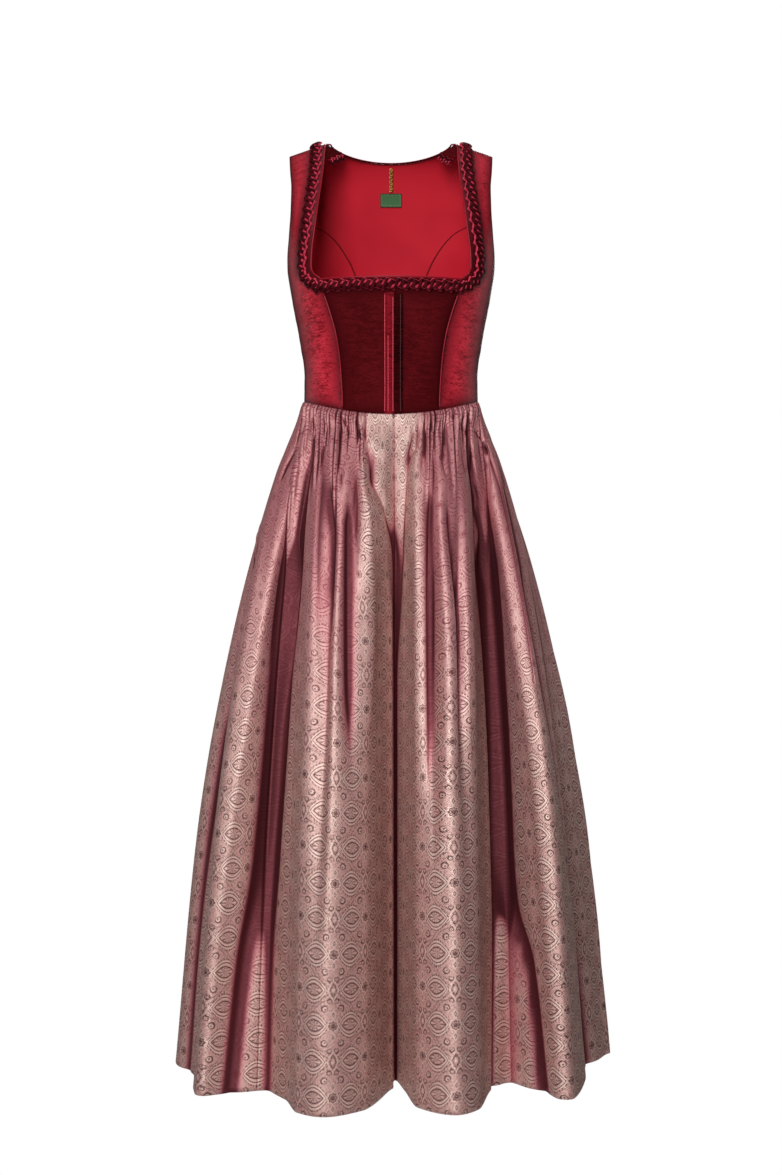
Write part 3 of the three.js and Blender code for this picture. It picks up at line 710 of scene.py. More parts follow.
def front_pair(word, sign):
    side_front = bodice_piece(
        f"side_front_{word}",
        FRONT,
        (0, WAIST_DROP),
        lambda level: mirrored(sign, front_edge(level) + HALF_GAP, outer_x(level)),
        (28, 150),
        relief=strain,
        covered=lambda level: in_order(sign, beside_ruche(level), 0) + (0, 0),
    )
    register(side_front, side_velvet, f"front_side_{word}")
    closure = sign * CLOSURE_X + HALF_GAP
    centre_front = bodice_piece(
        f"centre_front_{word}",
        FRONT,
        (NECK_CORNER, WAIST_DROP),
        lambda level: mirrored(sign, closure, front_edge(level) - HALF_GAP),
        (34, 70),
        covered=lambda level: (0, 0, RUCHE_REACH, 0),
    )
    register(centre_front, centre_velvet, f"front_centre_{word}")


for word, sign in SIDES:
    front_pair(word, sign)


# %% Back and its lining
def back_half(level):
    return np.where(level < BACK_SEAM_TOP, armhole_x(level), back_seam(level))


def back_layer(layer, material, node, lift, thick):
    """Three pieces: layer and node are the words before each one's part in the names."""
    centre = bodice_piece(
        f"{layer}_centre",
        BACK,
        (0, WAIST_DROP),
        lambda level: (-(back_half(level) - HALF_GAP), back_half(level) - HALF_GAP),
        (60, 150),
        lift,
        thick,
    )
    register(centre, material, f"{node}_centre")
    for word, sign in SIDES:
        side = bodice_piece(
            f"{layer}_side_{word}",
            BACK,
            (BACK_SEAM_TOP, WAIST_DROP),
            lambda level: mirrored(sign, back_seam(level) + HALF_GAP, outer_x(level)),
            (34, 110),
            lift,
            thick,
        )
        register(side, material, f"{node}_side_{word}")


LINING_LIFT = -(VELVET / 2 + SEAM_GAP + LINING / 2)
back_layer("back_panel", side_velvet, "back", 0.0, VELVET)
back_layer("back_lining", lining_cloth, "lining_back", LINING_LIFT, LINING)
print("bodice laid")

# %% [markdown]
# ## Lines on the body
#
# Pipings and the ruche follow lines on the body. route() joins a few places by a smooth curve,
# evens it out by length, and gives at every step the point, the way along, the way out from the
# body and the way aside.


# %% Routes
TRIM_CUT = 10  # the width that a trim's cut is given in its UV map


def route(side, places, lift, steps):
    """places are (x, level); a level below nought lies on the back."""
    x, level = np.array(places, float).T
    root = np.sign(level) * np.sqrt(np.abs(level))

    def on_body(x, root):
        which = np.where(root < 0, BACK, side)
        place, normal = body_place(which, x, root**2)
        return place + normal * lift, normal

    rough, _ = on_body(x, root)
    chord = np.concatenate([[0], np.cumsum(np.linalg.norm(np.diff(rough, axis=0), axis=1))])
    rows = [dict(chord=c, x=a, root=b) for c, a, b in zip(chord, x, root)]
    fine = np.linspace(0, chord[-1], steps * 4)
    place, normal = on_body(reader(rows, "chord", "x")(fine), reader(rows, "chord", "root")(fine))
    return even_route(place, normal, steps)


def even_route(place, normal, steps):
    length = np.concatenate([[0], np.cumsum(np.linalg.norm(np.diff(place, axis=0), axis=1))])
    at = np.linspace(0, length[-1], steps)

    def pick(values):
        return np.stack([np.interp(at, length, v) for v in values.T], -1)

    point = pick(place)
    along = unit(np.gradient(point, axis=0))
    out = pick(normal)
    out = unit(out - along * (out * along).sum(-1, keepdims=True))
    return {"point": point, "out": out, "aside": np.cross(along, out), "length": length[-1]}


def beside(line, aside, out):
    """Places that lie so far aside from a line and out from it, row by row."""
    point, way_aside, way_out = (line[key][:, None, :] for key in ("point", "aside", "out"))
    return point + way_aside * aside[..., None] + way_out * out[..., None]


def tube(name, line, ring, sides=10):
    """A closed tube round a line; ring(share, turn) gives how far aside and out."""

    def lay(across, down):
        aside, out = ring(down, across * 2 * np.pi)
        cut = np.stack([across * TRIM_CUT, down * line["length"]], -1)
        return beside(line, aside, out), cut

    piece = cloth(name, sides, len(line["point"]) - 1, lay, 0, sharp=60)
    bpy.ops.object.mode_set(mode="EDIT")
    bpy.ops.mesh.select_all(action="SELECT")
    bpy.ops.mesh.remove_doubles(threshold=0.01 * MM)
    bpy.ops.mesh.select_all(action="DESELECT")
    bpy.ops.mesh.select_non_manifold()
    bpy.ops.mesh.edge_face_add()
    bpy.ops.mesh.select_all(action="SELECT")
    bpy.ops.mesh.normals_make_consistent(inside=False)
    bpy.ops.object.mode_set(mode="OBJECT")
    return piece


def round_ring(radius, shift=0):
    return lambda share, turn: (-radius * np.cos(turn) - shift, radius * np.sin(turn))


def beside_neckline(distance, wrap):
    """A line beside the front neckline, square to it, from shoulder to shoulder."""
    levels = [row["level"] for row in FRONT_EDGE if row["level"] <= NECK_CORNER]
    edge = [(float(front_edge(level)), level) for level in levels]
    edge += [(x, NECK_CORNER) for x in (88, 62, 30, 0)]
    x, level = np.array(edge, float).T
    across, down = np.gradient(x), np.gradient(level)
    size = np.hypot(across, down)
    x = x + distance * down / size
    level = np.maximum(0, level - distance * across / size)
    half = np.stack([x, level], -1)[:-1].tolist()
    if wrap:
        half.insert(0, [NECK_HALF + distance, -3])
    return [[-x, level] for x, level in half] + half[::-1]


# %% [markdown]
# ## Velvet trims
#
# The neckline carries a ruche: a narrow velvet band drawn up on a zigzag thread, so that it
# stands in slanting puffs like a plait. Its satin edges are painted as pale wavy lines and its
# puffs carry pale hooks, painted highlights where the pile turns to the light, and its furrows
# are painted nearly black, a painted shade. A satin piping closes the edge inside it, and two
# more pipings mark the princess seams.

# %% Ruche
RUCHE_WIDTH, RUCHE_HEIGHT, RUCHE_PITCH, RUCHE_SWAY = 15.0, 4.6, 8.4, 1.7
RUCHE_SLANT = 1.9  # how far a furrow runs on from the middle to the edge, in radians
RUCHE_BASE, RUCHE_CLOTH = 0.9, 0.7  # how high its edges stand, and how thick its cloth is
RUCHE_RIM, RUCHE_RIM_AT, RUCHE_RIM_WIDE = 0.45, 0.93, 0.08  # the two raised satin lines
RUCHE_FRILL = 0.13  # how far its edges wave in and out
PIPING_RADIUS = 1.2
ON_CLOTH = VELVET / 2 + SEAM_GAP


def ruche(name, line, width=RUCHE_WIDTH):
    """A drawn-up band: slanting puffs, each furrow pinching the band's edges in."""
    puffs = round(line["length"] / RUCHE_PITCH)
    scale = width / RUCHE_WIDTH

    def lay(across, down):
        phase = 2 * np.pi * down * puffs
        uneven = 0.5 * np.sin(down * 37 + 1) + 0.5 * np.sin(down * 91)
        from_middle = across * 2 - 1
        slant = phase + RUCHE_SLANT * from_middle + 0.5 * uneven
        puff = np.abs(np.cos(slant / 2)) ** 0.7
        arch = np.sqrt(np.maximum(0, 1 - np.abs(from_middle) ** 2.6))
        plump = 0.42 + 0.62 * puff * (1 + 0.12 * uneven)
        rim = np.exp(-(((np.abs(from_middle) - RUCHE_RIM_AT) / RUCHE_RIM_WIDE) ** 2))
        out = RUCHE_BASE + RUCHE_HEIGHT * scale * arch * plump + RUCHE_RIM * rim
        frill = 1 + RUCHE_FRILL * np.cos(slant) * np.abs(from_middle) ** 2
        aside = from_middle * width / 2 * frill + RUCHE_SWAY * scale * np.sin(phase / 2)
        cut = np.stack([across * TRIM_CUT, down * puffs * TRIM_CUT], -1)
        # the third value marks the furrows between puffs and the edges, for their painted shade
        return beside(line, aside, out), cut, 1 - puff * arch

    return cloth(name, 22, len(line["point"]) - 1, lay, RUCHE_CLOTH, sharp=80)


RUCHE_INSET, RUCHE_STEPS = 2.8, 900
ruche_places = beside_neckline(RUCHE_WIDTH / 2 + RUCHE_INSET, wrap=True)
neck_line = route(FRONT, ruche_places, ON_CLOTH + 0.3, RUCHE_STEPS)
RUCHE_PUFFS = round(neck_line["length"] / RUCHE_PITCH)
print("ruche", round(neck_line["length"]), "mm long, puffs", RUCHE_PUFFS)


# %% Trim materials
def make_ruche_velvet():
    """The UV map runs TRIM_CUT across the band and as far down for each puff."""
    material, tree, shader = new_material(
        "ruche velvet",
        Roughness=0.6,
        Specular_IOR_Level=0.12,
        Specular_Tint=(1, 0.3, 0.35, 1),
    )
    uv, across, down = coordinates(tree)
    outward = across * (2 / TRIM_CUT) - 1
    # painted highlights: pale lines along the edges, and hooks on the inner half of the band on
    # the wearer's right and on the outer half on the left
    inner_line = (outward * -1).ramp(0.80, 0.88)
    outer_line = outward.ramp(0.86, 0.92) * 0.35
    half = RUCHE_PUFFS * TRIM_CUT / 2
    left_part = down.ramp(half - 2, half + 2)
    hook_side = outward * left_part.ramp(0, 1, -1, 1)
    hook_band = hook_side.ramp(-0.15, 0.1) * hook_side.ramp(0.55, 0.8, 1.0, 0.0)
    puffs = (down * (math.pi / TRIM_CUT) + outward * 1.6).sin().abs()
    hook_highlights = puffs.ramp(0.72, 0.94) * hook_band
    satin = inner_line.most(outer_line).most(hook_highlights)
    pile_and_sheen, pile = brushed_nap(tree, uv)
    cloth_colour = mix_colour(tree, pile_and_sheen, (0.020, 0.001, 0.002), (0.075, 0.003, 0.007))
    # painted shade: the furrows between puffs and the band's edges are painted nearly black
    depth = edge_mark(tree).ramp(0.35, 0.9)
    cloth_colour = mix_colour(tree, depth, cloth_colour, (0.004, 0.0004, 0.001))
    colour = mix_colour(tree, satin * 0.85, cloth_colour, (0.62, 0.045, 0.085))
    plug(tree, colour, shader.inputs["Base Color"])
    set_bump(tree, shader, pile, 0.25, 0.3 * MM)
    return material


ruche_velvet = make_ruche_velvet()
piping_satin = plain_material(
    "piping satin",
    Base_Color=(0.27, 0.008, 0.020, 1),
    Roughness=0.4,
    Specular_IOR_Level=0.4,
    Specular_Tint=(1, 0.5, 0.55, 1),
)

neck_ruche = ruche("neck_ruche", neck_line)
register(neck_ruche, ruche_velvet, "neckline_ruche")

# %% Pipings
piping_places = beside_neckline(-(PIPING_RADIUS + SEAM_GAP + 0.2), wrap=False)
inner_edge = route(FRONT, piping_places, 0, 240)
neck_piping = tube("neck_piping", inner_edge, round_ring(PIPING_RADIUS))
register(neck_piping, piping_satin, "neckline_piping")

back_x = np.linspace(NECK_HALF, -NECK_HALF, 160)
back_angles = angle_of(back_x, np.zeros_like(back_x))
back_drop = drop_of(BACK, np.zeros_like(back_x), back_angles)
back_line = torso(BACK, back_angles, back_drop)
back_out = torso_normal(BACK, back_angles, back_drop)
short = slice(3, -3)  # it ends just before the shoulders
neck_back = even_route(back_line[short], back_out[short], 140)
back_ring = round_ring(PIPING_RADIUS, PIPING_RADIUS + SEAM_GAP + 0.3)
back_piping = tube("back_neck_edge", neck_back, back_ring)
register(back_piping, ruche_velvet, "back_neck_piping")

for word, sign in SIDES:
    seam = [(sign * float(front_edge(level)), level) for level in (240, 262, 295, 325, 355, 384)]
    seam_line = route(FRONT, seam, ON_CLOTH + PIPING_RADIUS + SEAM_GAP, 90)
    princess = tube(f"princess_piping_{word}_cord", seam_line, round_ring(PIPING_RADIUS * 0.9))
    register(princess, piping_satin, f"princess_piping_{word}")
print("pipings", round(inner_edge["length"]), "mm in front,", round(neck_back["length"]), "behind")

# %% [markdown]
# ## Closure
#
# The centre fronts end in turned bands, bright on the wearer's right and dark on the left, each
# sewn down by lines of stitches. The two are one binding: the bright one as lit, the dark one
# painted dark as if in shade. A bump in the velvet would show stitches from straight in front
# only. So each line is pressed into the band's mesh, and real threads run along the bands.

# %% Closure bands
PLACKET_WIDTH, PLACKET_TOP, PLACKET_THICK = 13.5, 239, 1.2
STITCH, STITCH_WIDE, STITCH_DEEP, STITCH_WAVE = 4.2, 0.7, 0.45, 0.25


def band_relief(word):
    """Stitch lines along the bands: two on the bright one, one on the dark one."""
    lines = (5.0, 10.5) if word == "right" else (10.5,)

    def relief(x, level):
        from_closure = np.abs(x - CLOSURE_X)
        stitches = STITCH_DEEP + STITCH_WAVE * np.sin(level * 2 * np.pi / STITCH)
        dents = (np.exp(-(((from_closure - at) / STITCH_WIDE) ** 2)) for at in lines)
        return -sum(dent * stitches for dent in dents)

    return relief


# the dark band is the bright one's binding painted dark, a painted shade
band_velvet = velvet(
    "band velvet",
    deep=(0.010, 0.0005, 0.001),
    light=(0.045, 0.002, 0.003),
    **DULL_PILE,
)
bright_band_velvet = velvet(
    "bright band velvet",
    deep=(0.10, 0.0015, 0.004),
    light=(0.62, 0.020, 0.040),
    edge_shade=1.0,
    Roughness=0.6,
    Specular_IOR_Level=0.1,
    Specular_Tint=(1, 0.3, 0.4, 1),
)


def closure_band(word, sign, material):
    near = sign * CLOSURE_X + HALF_GAP
    far = sign * CLOSURE_X + PLACKET_WIDTH
    band = bodice_piece(
        f"closure_band_{word}",
        FRONT,
        (PLACKET_TOP, WAIST_DROP),
        lambda level: mirrored(sign, near + 0 * level, far + 0 * level),
        (26, 150),
        ON_CLOTH + PLACKET_THICK / 2,
        PLACKET_THICK,
        relief=band_relief(word),
        shaded=(0.7, 0.7, 0, 0),
    )
    register(band, material, f"placket_{word}")


closure_band("right", -1, bright_band_velvet)
closure_band("left", 1, band_velvet)
print("closure bands", WAIST_DROP - PLACKET_TOP, "mm long")

# %% Stitches of the closure
# Each line of stitches is a thread that dips into the cloth and comes up again.
THREAD_RADIUS, THREAD_SUNK = 0.5, 1.6  # in mm, and in radii
bright_thread = plain_material(
    "bright thread",
    Base_Color=(0.80, 0.090, 0.130, 1),
    Roughness=0.45,
    Specular_IOR_Level=0.3,
)
grey_thread = plain_material(
    "grey thread",
    Base_Color=(0.085, 0.030, 0.036, 1),
    Roughness=0.6,
    Specular_IOR_Level=0.2,
)


def stitch_line(name, at, levels, thread):
    places = [(CLOSURE_X + at, level) for level in np.linspace(*levels, 6)]
    lift = ON_CLOTH + PLACKET_THICK + THREAD_RADIUS * 0.3
    line = route(FRONT, places, lift, 260)
    stitches = line["length"] / STITCH

    def ring(share, turn):
        rise = 2 * (0.6 + 0.4 * np.cos(share * stitches * 2 * np.pi))
        return -THREAD_RADIUS * np.cos(turn), THREAD_RADIUS * (np.sin(turn) + rise - THREAD_SUNK)

    register(tube(name, line, ring, sides=6), thread)
    print(name, "has", round(stitches), "stitches")


stitch_line("stitches_1", -12.9, (242, 384), bright_thread)
stitch_line("stitches_2", -8.2, (300, 384), bright_thread)
stitch_line("stitches_3", -1.2, (246, 384), bright_thread)
stitch_line("stitches_4", 9.5, (242, 384), grey_thread)

# %% [markdown]
# ## Shoulder corners
#
# On each shoulder the strap's inner corner is folded in: a triangle of dark velvet, with the end
# of the ruche under it. A grid makes a good triangle when one of its sides shrinks to almost
# nothing, so each corner is laid as a fan round its hindmost point.

# %% Shoulder corners
CORNER_TOP, CORNER_BACK, CORNER_LOW = (97.2, 1, -1.5), (74, 28, -5.5), (97, -10, -24)
RUCHE_END, RUCHE_END_STEPS = 9, 60  # the strip's width, and its steps along


def shoulder_corner(word, sign):
    places = (CORNER_TOP, CORNER_BACK, CORNER_LOW)
    a, b, c = (np.array(place, float) * (sign, 1, 1) for place in places)
    normal = unit(np.cross(b - a, c - a)) * sign
    far_end = lerp(b, c, 0.12)

    def lay(across, down):
        share = across if sign < 0 else 1 - across
        start = lerp(a, c, down[..., None] * 0.96)
        end = lerp(b, far_end, down[..., None])
        place = lerp(start, end, share[..., None])
        soft = 0.5 * np.sin(share * 5 + down * 3) * (1 - down)
        return place + normal * soft[..., None], np.stack([share * 30, down * 26], -1)

    corner = cloth(f"corner_{word}", 20, 20, lay, 1.2)
    register(corner, centre_velvet, f"shoulder_corner_{word}")

    start = lerp(c, b, 0.06)
    aside = np.cross(unit(far_end - start), normal)
    hang = -sign * (RUCHE_END / 2 + 2.2)
    line = {
        "point": np.linspace(start, far_end, RUCHE_END_STEPS) + aside * hang,
        "out": np.repeat(normal[None], RUCHE_END_STEPS, 0),
        "aside": np.repeat(aside[None], RUCHE_END_STEPS, 0),
        "length": float(np.linalg.norm(far_end - start)),
    }
    strip = ruche(f"strip_{word}", line, RUCHE_END)
    register(strip, ruche_velvet, f"ruche_end_{word}")


for word, sign in SIDES:
    shoulder_corner(word, sign)
print("shoulder corners and ruche ends sewn on")

# %% [markdown]
# ## Label and hanging chain
#
# A small plain label is stitched inside the back neckline. A chain of little brass links hangs
# from the edge down to it, to hang the dress up by.

# %% Label
LABEL_WIDTH, LABEL_TOP, LABEL_BOTTOM, LABEL_THICK, LABEL_CLEAR = 33, 56, 76, 1.0, 0.7
INSIDE = -(VELVET / 2 + SEAM_GAP + LINING + SEAM_GAP + LABEL_CLEAR + LABEL_THICK / 2)
label_cloth, tree, shader = new_material("label", Roughness=0.75, Sheen_Weight=0.1)
_, across, down = coordinates(tree)
ribs = (down * 5).sin()
colour = mix_colour(tree, ribs.ramp(-1, 1), (0.030, 0.105, 0.032), (0.050, 0.165, 0.055))
border = edge_mark(tree)
stitched = border.ramp(0.76, 0.79) * border.ramp(0.86, 0.89, 1.0, 0.0)
dashes = ((across + down) * 2.6).sin().ramp(-0.3, 0.3)
colour = mix_colour(tree, border.ramp(0.84, 0.93), colour, (0.012, 0.035, 0.012))
colour = mix_colour(tree, stitched * dashes, colour, (0.14, 0.24, 0.10))
plug(tree, colour, shader.inputs["Base Color"])
set_bump(tree, shader, ribs, 0.3, 0.2 * MM)
label = bodice_piece(
    "sewn_label",
    BACK,
    (LABEL_TOP, LABEL_BOTTOM),
    lambda level: (-LABEL_WIDTH / 2 + 0 * level, LABEL_WIDTH / 2 + 0 * level),
    (24, 16),
    INSIDE,
    LABEL_THICK,
)
register(label, label_cloth, "label")
print("label", LABEL_WIDTH, "x", LABEL_BOTTOM - LABEL_TOP, "mm")

# %% Chain
CHAIN_TOP, CHAIN_BOTTOM, CHAIN_WIDE = 6, 53, 2.4
LINK_PITCH, LINK_WIRE, LINK_RADIUS, LINK_STRETCH, LINK_TURN = 3.5, 0.55, 1.45, 1.55, 45
HANG_STEPS = 200
brass = plain_material(
    "old brass",
    Base_Color=(0.30, 0.20, 0.05, 1),
    Metallic=1.0,
    Roughness=0.38,
)
chain_places = [(0, level) for level in np.linspace(CHAIN_TOP, CHAIN_BOTTOM, 5)]
hang_line = route(BACK, chain_places, INSIDE - CHAIN_WIDE, HANG_STEPS)
links = []
count = round(hang_line["length"] / LINK_PITCH)
for number in range(count):
    at = round((number + 0.5) / count * (HANG_STEPS - 1))
    bpy.ops.object.select_all(action="DESELECT")
    bpy.ops.mesh.primitive_torus_add(
        major_segments=20,
        minor_segments=8,
        major_radius=LINK_RADIUS * MM,
        minor_radius=LINK_WIRE * MM,
    )
    link = bpy.context.object
    link.scale = (1, LINK_STRETCH, 1)
    turn = LINK_TURN if number % 2 else -LINK_TURN
    link.rotation_euler = (math.radians(90), math.radians(turn), 0)
    link.location = hang_line["point"][at] * MM
    links.append(link)
bpy.ops.object.select_all(action="DESELECT")
for link in links:
    link.select_set(True)
bpy.context.view_layer.objects.active = links[0]
bpy.ops.object.join()
chain = bpy.context.object
chain.name = "neck_chain"
bpy.ops.object.transform_apply(location=True, rotation=True, scale=True)
bpy.ops.object.shade_smooth()
register(chain, brass, "hanging_chain")
print("chain of", count, "links")

# %% [markdown]
# ## The skirt
#
# Four widths of jacquard are gathered into the waist seam and fall to the floor in rolls. Three
# layers of shape make them: the long fold lines of FOLDS, with a few soft TROUGHS between them;
# the gathers, a row of small puffs that die out at uneven heights; and the creases, each placed
# one by one, which give the folds their crisp edges.

# %% Skirt tables
SKIRT_TUCK = 0.8
SKIRT_LENGTH = 985
FLARE = table(
    "drop share",
    *((0, 0), (24, 0.045), (56, 0.12), (116, 0.257)),
    *((236, 0.452), (416, 0.655), (656, 0.848), (985, 1)),
)
FOLDS = table(
    "waist x y belly",
    (-180, 0, 288, 0),
    (-171, -44, 234, 0),
    (-162, -94, 282, 0),
    (-153, -134, 216, 0),
    (-145, -188, 248, 0),
    (-137, -208, 176, 0),
    (-129, -268, 170, 0),
    (-120, -284, 88, 0),
    (-110, -322, 8, 0),  # right side
    (-98, -300, -82, 0),
    (-87, -262, -204, 0),
    (-82, -228, -200, 2),
    (-74, -188, -180, 4),  # right side seam
    (-57, -146, -226, 6),
    (-47, -126, -296, 6),
    (-32, -90, -319, 6),  # great right roll
    (-14, -38, -284, 8),
    (-4, -6, -188, 20),
    (2, 6, -118, 28),  # valley of the front seam
    (9, 20, -180, 20),
    (16, 36, -268, 8),
    (33, 86, -309, 6),  # great left roll
    (47, 118, -280, 6),
    (60, 140, -178, 6),
    (76, 172, -132, 4),  # left side seam
    (82, 214, -198, 2),
    (88, 246, -226, 0),
    (99, 284, -100, 0),
    (108, 306, -12, 0),
    (117, 330, 64, 0),  # left side
    (126, 284, 96, 0),
    (133, 274, 160, 0),
    (140, 214, 168, 0),
    (148, 190, 244, 0),
    (156, 136, 212, 0),
    (164, 92, 280, 0),
    (172, 40, 228, 0),
    (180, 0, 288, 0),
)
BELLY_END = 330
TROUGHS = table(
    "waist wide deep start end",
    *((-38, 5, 16, 60, 900), (-21, 3, 7, 10, 320), (-62, 4, 8, 20, 420)),
    *((26, 4, 14, 70, 860), (43, 4, 13, 40, 820), (60, 3, 8, 20, 380)),
    *((-97, 4, 20, 110, 1500), (-106, 3, 10, 30, 520), (-115, 3, 12, 90, 1300)),
    *((-133, 3, 10, 30, 640), (-150, 3, 9, 20, 520), (-167, 3, 8, 20, 430)),
    *((94, 3, 11, 30, 560), (104, 4, 20, 110, 1500), (112, 3, 9, 30, 480)),
    *((130, 3, 10, 30, 600), (144, 3, 9, 20, 500), (160, 3, 8, 20, 420)),
    *((176, 3, 7, 20, 380),),
)
# first numbers the gathers on from width to width; plain_ degrees at a width's ends have none
WIDTHS = table(
    "name start end first gathers plain_start plain_end",
    ("back_right", -180, -74, 0, 14, 0, 0),
    ("front_right", -74, 2, 14, 10, 0, 16),
    ("front_left", 2, 76, 24, 10, 16, 0),
    ("back_left", 76, 180, 34, 14, 0, 0),
)
GATHER_EDGE, GATHER_DEEP, GATHER_RIPE, GATHER_REACH, GATHER_VARY = 2.0, 4.2, 26, 125, 80
FINE_EDGE, FINE_DEEP, FINE_RIPE, FINE_REACH, FINE_VARY = 0.9, 1.5, 12, 62, 34
BULGE, BULGE_FULL, BULGE_END = 2.6, 8, 34
flare_at = reader(FLARE, "drop", "share")
hem_x = reader(FOLDS, "waist", "x")
hem_y = reader(FOLDS, "waist", "y")
belly_at = reader(FOLDS, "waist", "belly")
print(len(FOLDS) - 1, "fold lines and", len(TROUGHS), "troughs")


# %% Skirt surface
def skirt_base(waist, drop):
    """The skirt's long folds alone, and the way straight out from the body."""
    side = np.where(np.abs(waist) <= 90, FRONT, BACK)
    middle = np.where(side == FRONT, waist, np.sign(waist) * (180 - np.abs(waist)))
    seam_drop = drop_of(side, WAIST_DROP, middle)
    seam = torso(side, middle, seam_drop)
    share = flare_at(drop)
    belly = belly_at(waist) * np.sin(np.pi * np.clip(drop / BELLY_END, 0, 1)) ** 2
    x = lerp(seam[..., 0], hem_x(waist), share)
    y = lerp(seam[..., 1], hem_y(waist), share) - belly
    z = -lerp(seam_drop, HEM_DROP, drop / SKIRT_LENGTH) - SEAM_GAP * (drop == 0)
    turn = np.radians(waist)
    out = np.stack([np.sin(turn), -np.cos(turn), np.zeros_like(turn)], -1)
    return np.stack([x, y, z], -1), out


def trough_depth(waist, drop):
    """How deep the soft troughs lie, each deepest four tenths of the way down it."""
    total = 0
    for row in TROUGHS:
        across = np.exp(-(((waist - row["waist"]) / row["wide"]) ** 2))
        middle = lerp(row["start"], row["end"], 0.4)
        down = smooth(drop, row["start"], middle) * (1 - smooth(drop, middle, row["end"]))
        total = total + row["deep"] * across * down
    return total


def gathers(waist, drop, width):
    """Small puffs below the seam, uneven in size and reach, with finer ones between them."""
    start = width["start"] + width["plain_start"]
    end = width["end"] - width["plain_end"]
    phase = (waist - start) / (end - start) * width["gathers"]
    inside = np.ones_like(phase)
    if width["plain_start"]:
        inside = smooth(phase, -0.1, 0.6)
    if width["plain_end"]:
        inside = 1 - smooth(phase, width["gathers"] - 0.6, width["gathers"] + 0.1)
    phase = phase + width["first"]
    number = phase - 0.5
    turns = 2 * np.pi * phase
    uneven = phase + 0.3 * np.sin(turns / 3.7 + 1) + 0.2 * np.sin(turns / 2.3)
    reach = GATHER_REACH + GATHER_VARY * np.sin(1.9 * number + 0.6)
    size = 0.85 + 0.4 * np.sin(2.3 * number)
    ripe = lerp(GATHER_EDGE, GATHER_DEEP, smooth(drop, 0, GATHER_RIPE))
    lean = 0.2 * np.sin(1.3 * number) * drop / 60
    puff = 1 - 2 * np.abs(np.cos(np.pi * (uneven + lean))) ** 1.5
    puff = puff * size * ripe * (1 - smooth(drop, 0.15 * reach, reach))
    fine_reach = FINE_REACH + FINE_VARY * np.sin(5.1 * number)
    fine = np.sin(turns * 2.6 + 1.6 * np.sin(3.1 * phase) + drop / 40)
    fine = fine * lerp(FINE_EDGE, FINE_DEEP, smooth(drop, 0, FINE_RIPE))
    fine = fine * (1 - smooth(drop, 0.2 * fine_reach, fine_reach))
    bulge = BULGE * smooth(drop, 0, BULGE_FULL) * (1 - smooth(drop, BULGE_FULL, BULGE_END))
    at_side = np.exp(-(((np.abs(waist) - 90) / 16) ** 2)) * (1 - smooth(drop, 20, 90))
    return (puff + fine + bulge) * inside * (1 - 0.75 * at_side)


def normals_of(place):
    """Outward normals of the closed ring of columns, whose last column repeats the first."""
    ring = np.concatenate([place[:, -2:-1], place, place[:, 1:2]], axis=1)
    across = np.gradient(ring, axis=1)[:, 1:-1]
    down = np.gradient(place, axis=0)
    return unit(np.cross(down, across))


# %% [markdown]
# A crease is one row of the next table. It runs down through a few places, each given as degrees
# round the waist and the drop below it. It rises to its height at its line and falls away to
# the left and to the right over its two widths, so a narrow one beside a wide one makes the
# overhanging edge of a fold. A height below nought is a furrow. Towards its two ends a crease
# fades out, unless it runs to the hem.


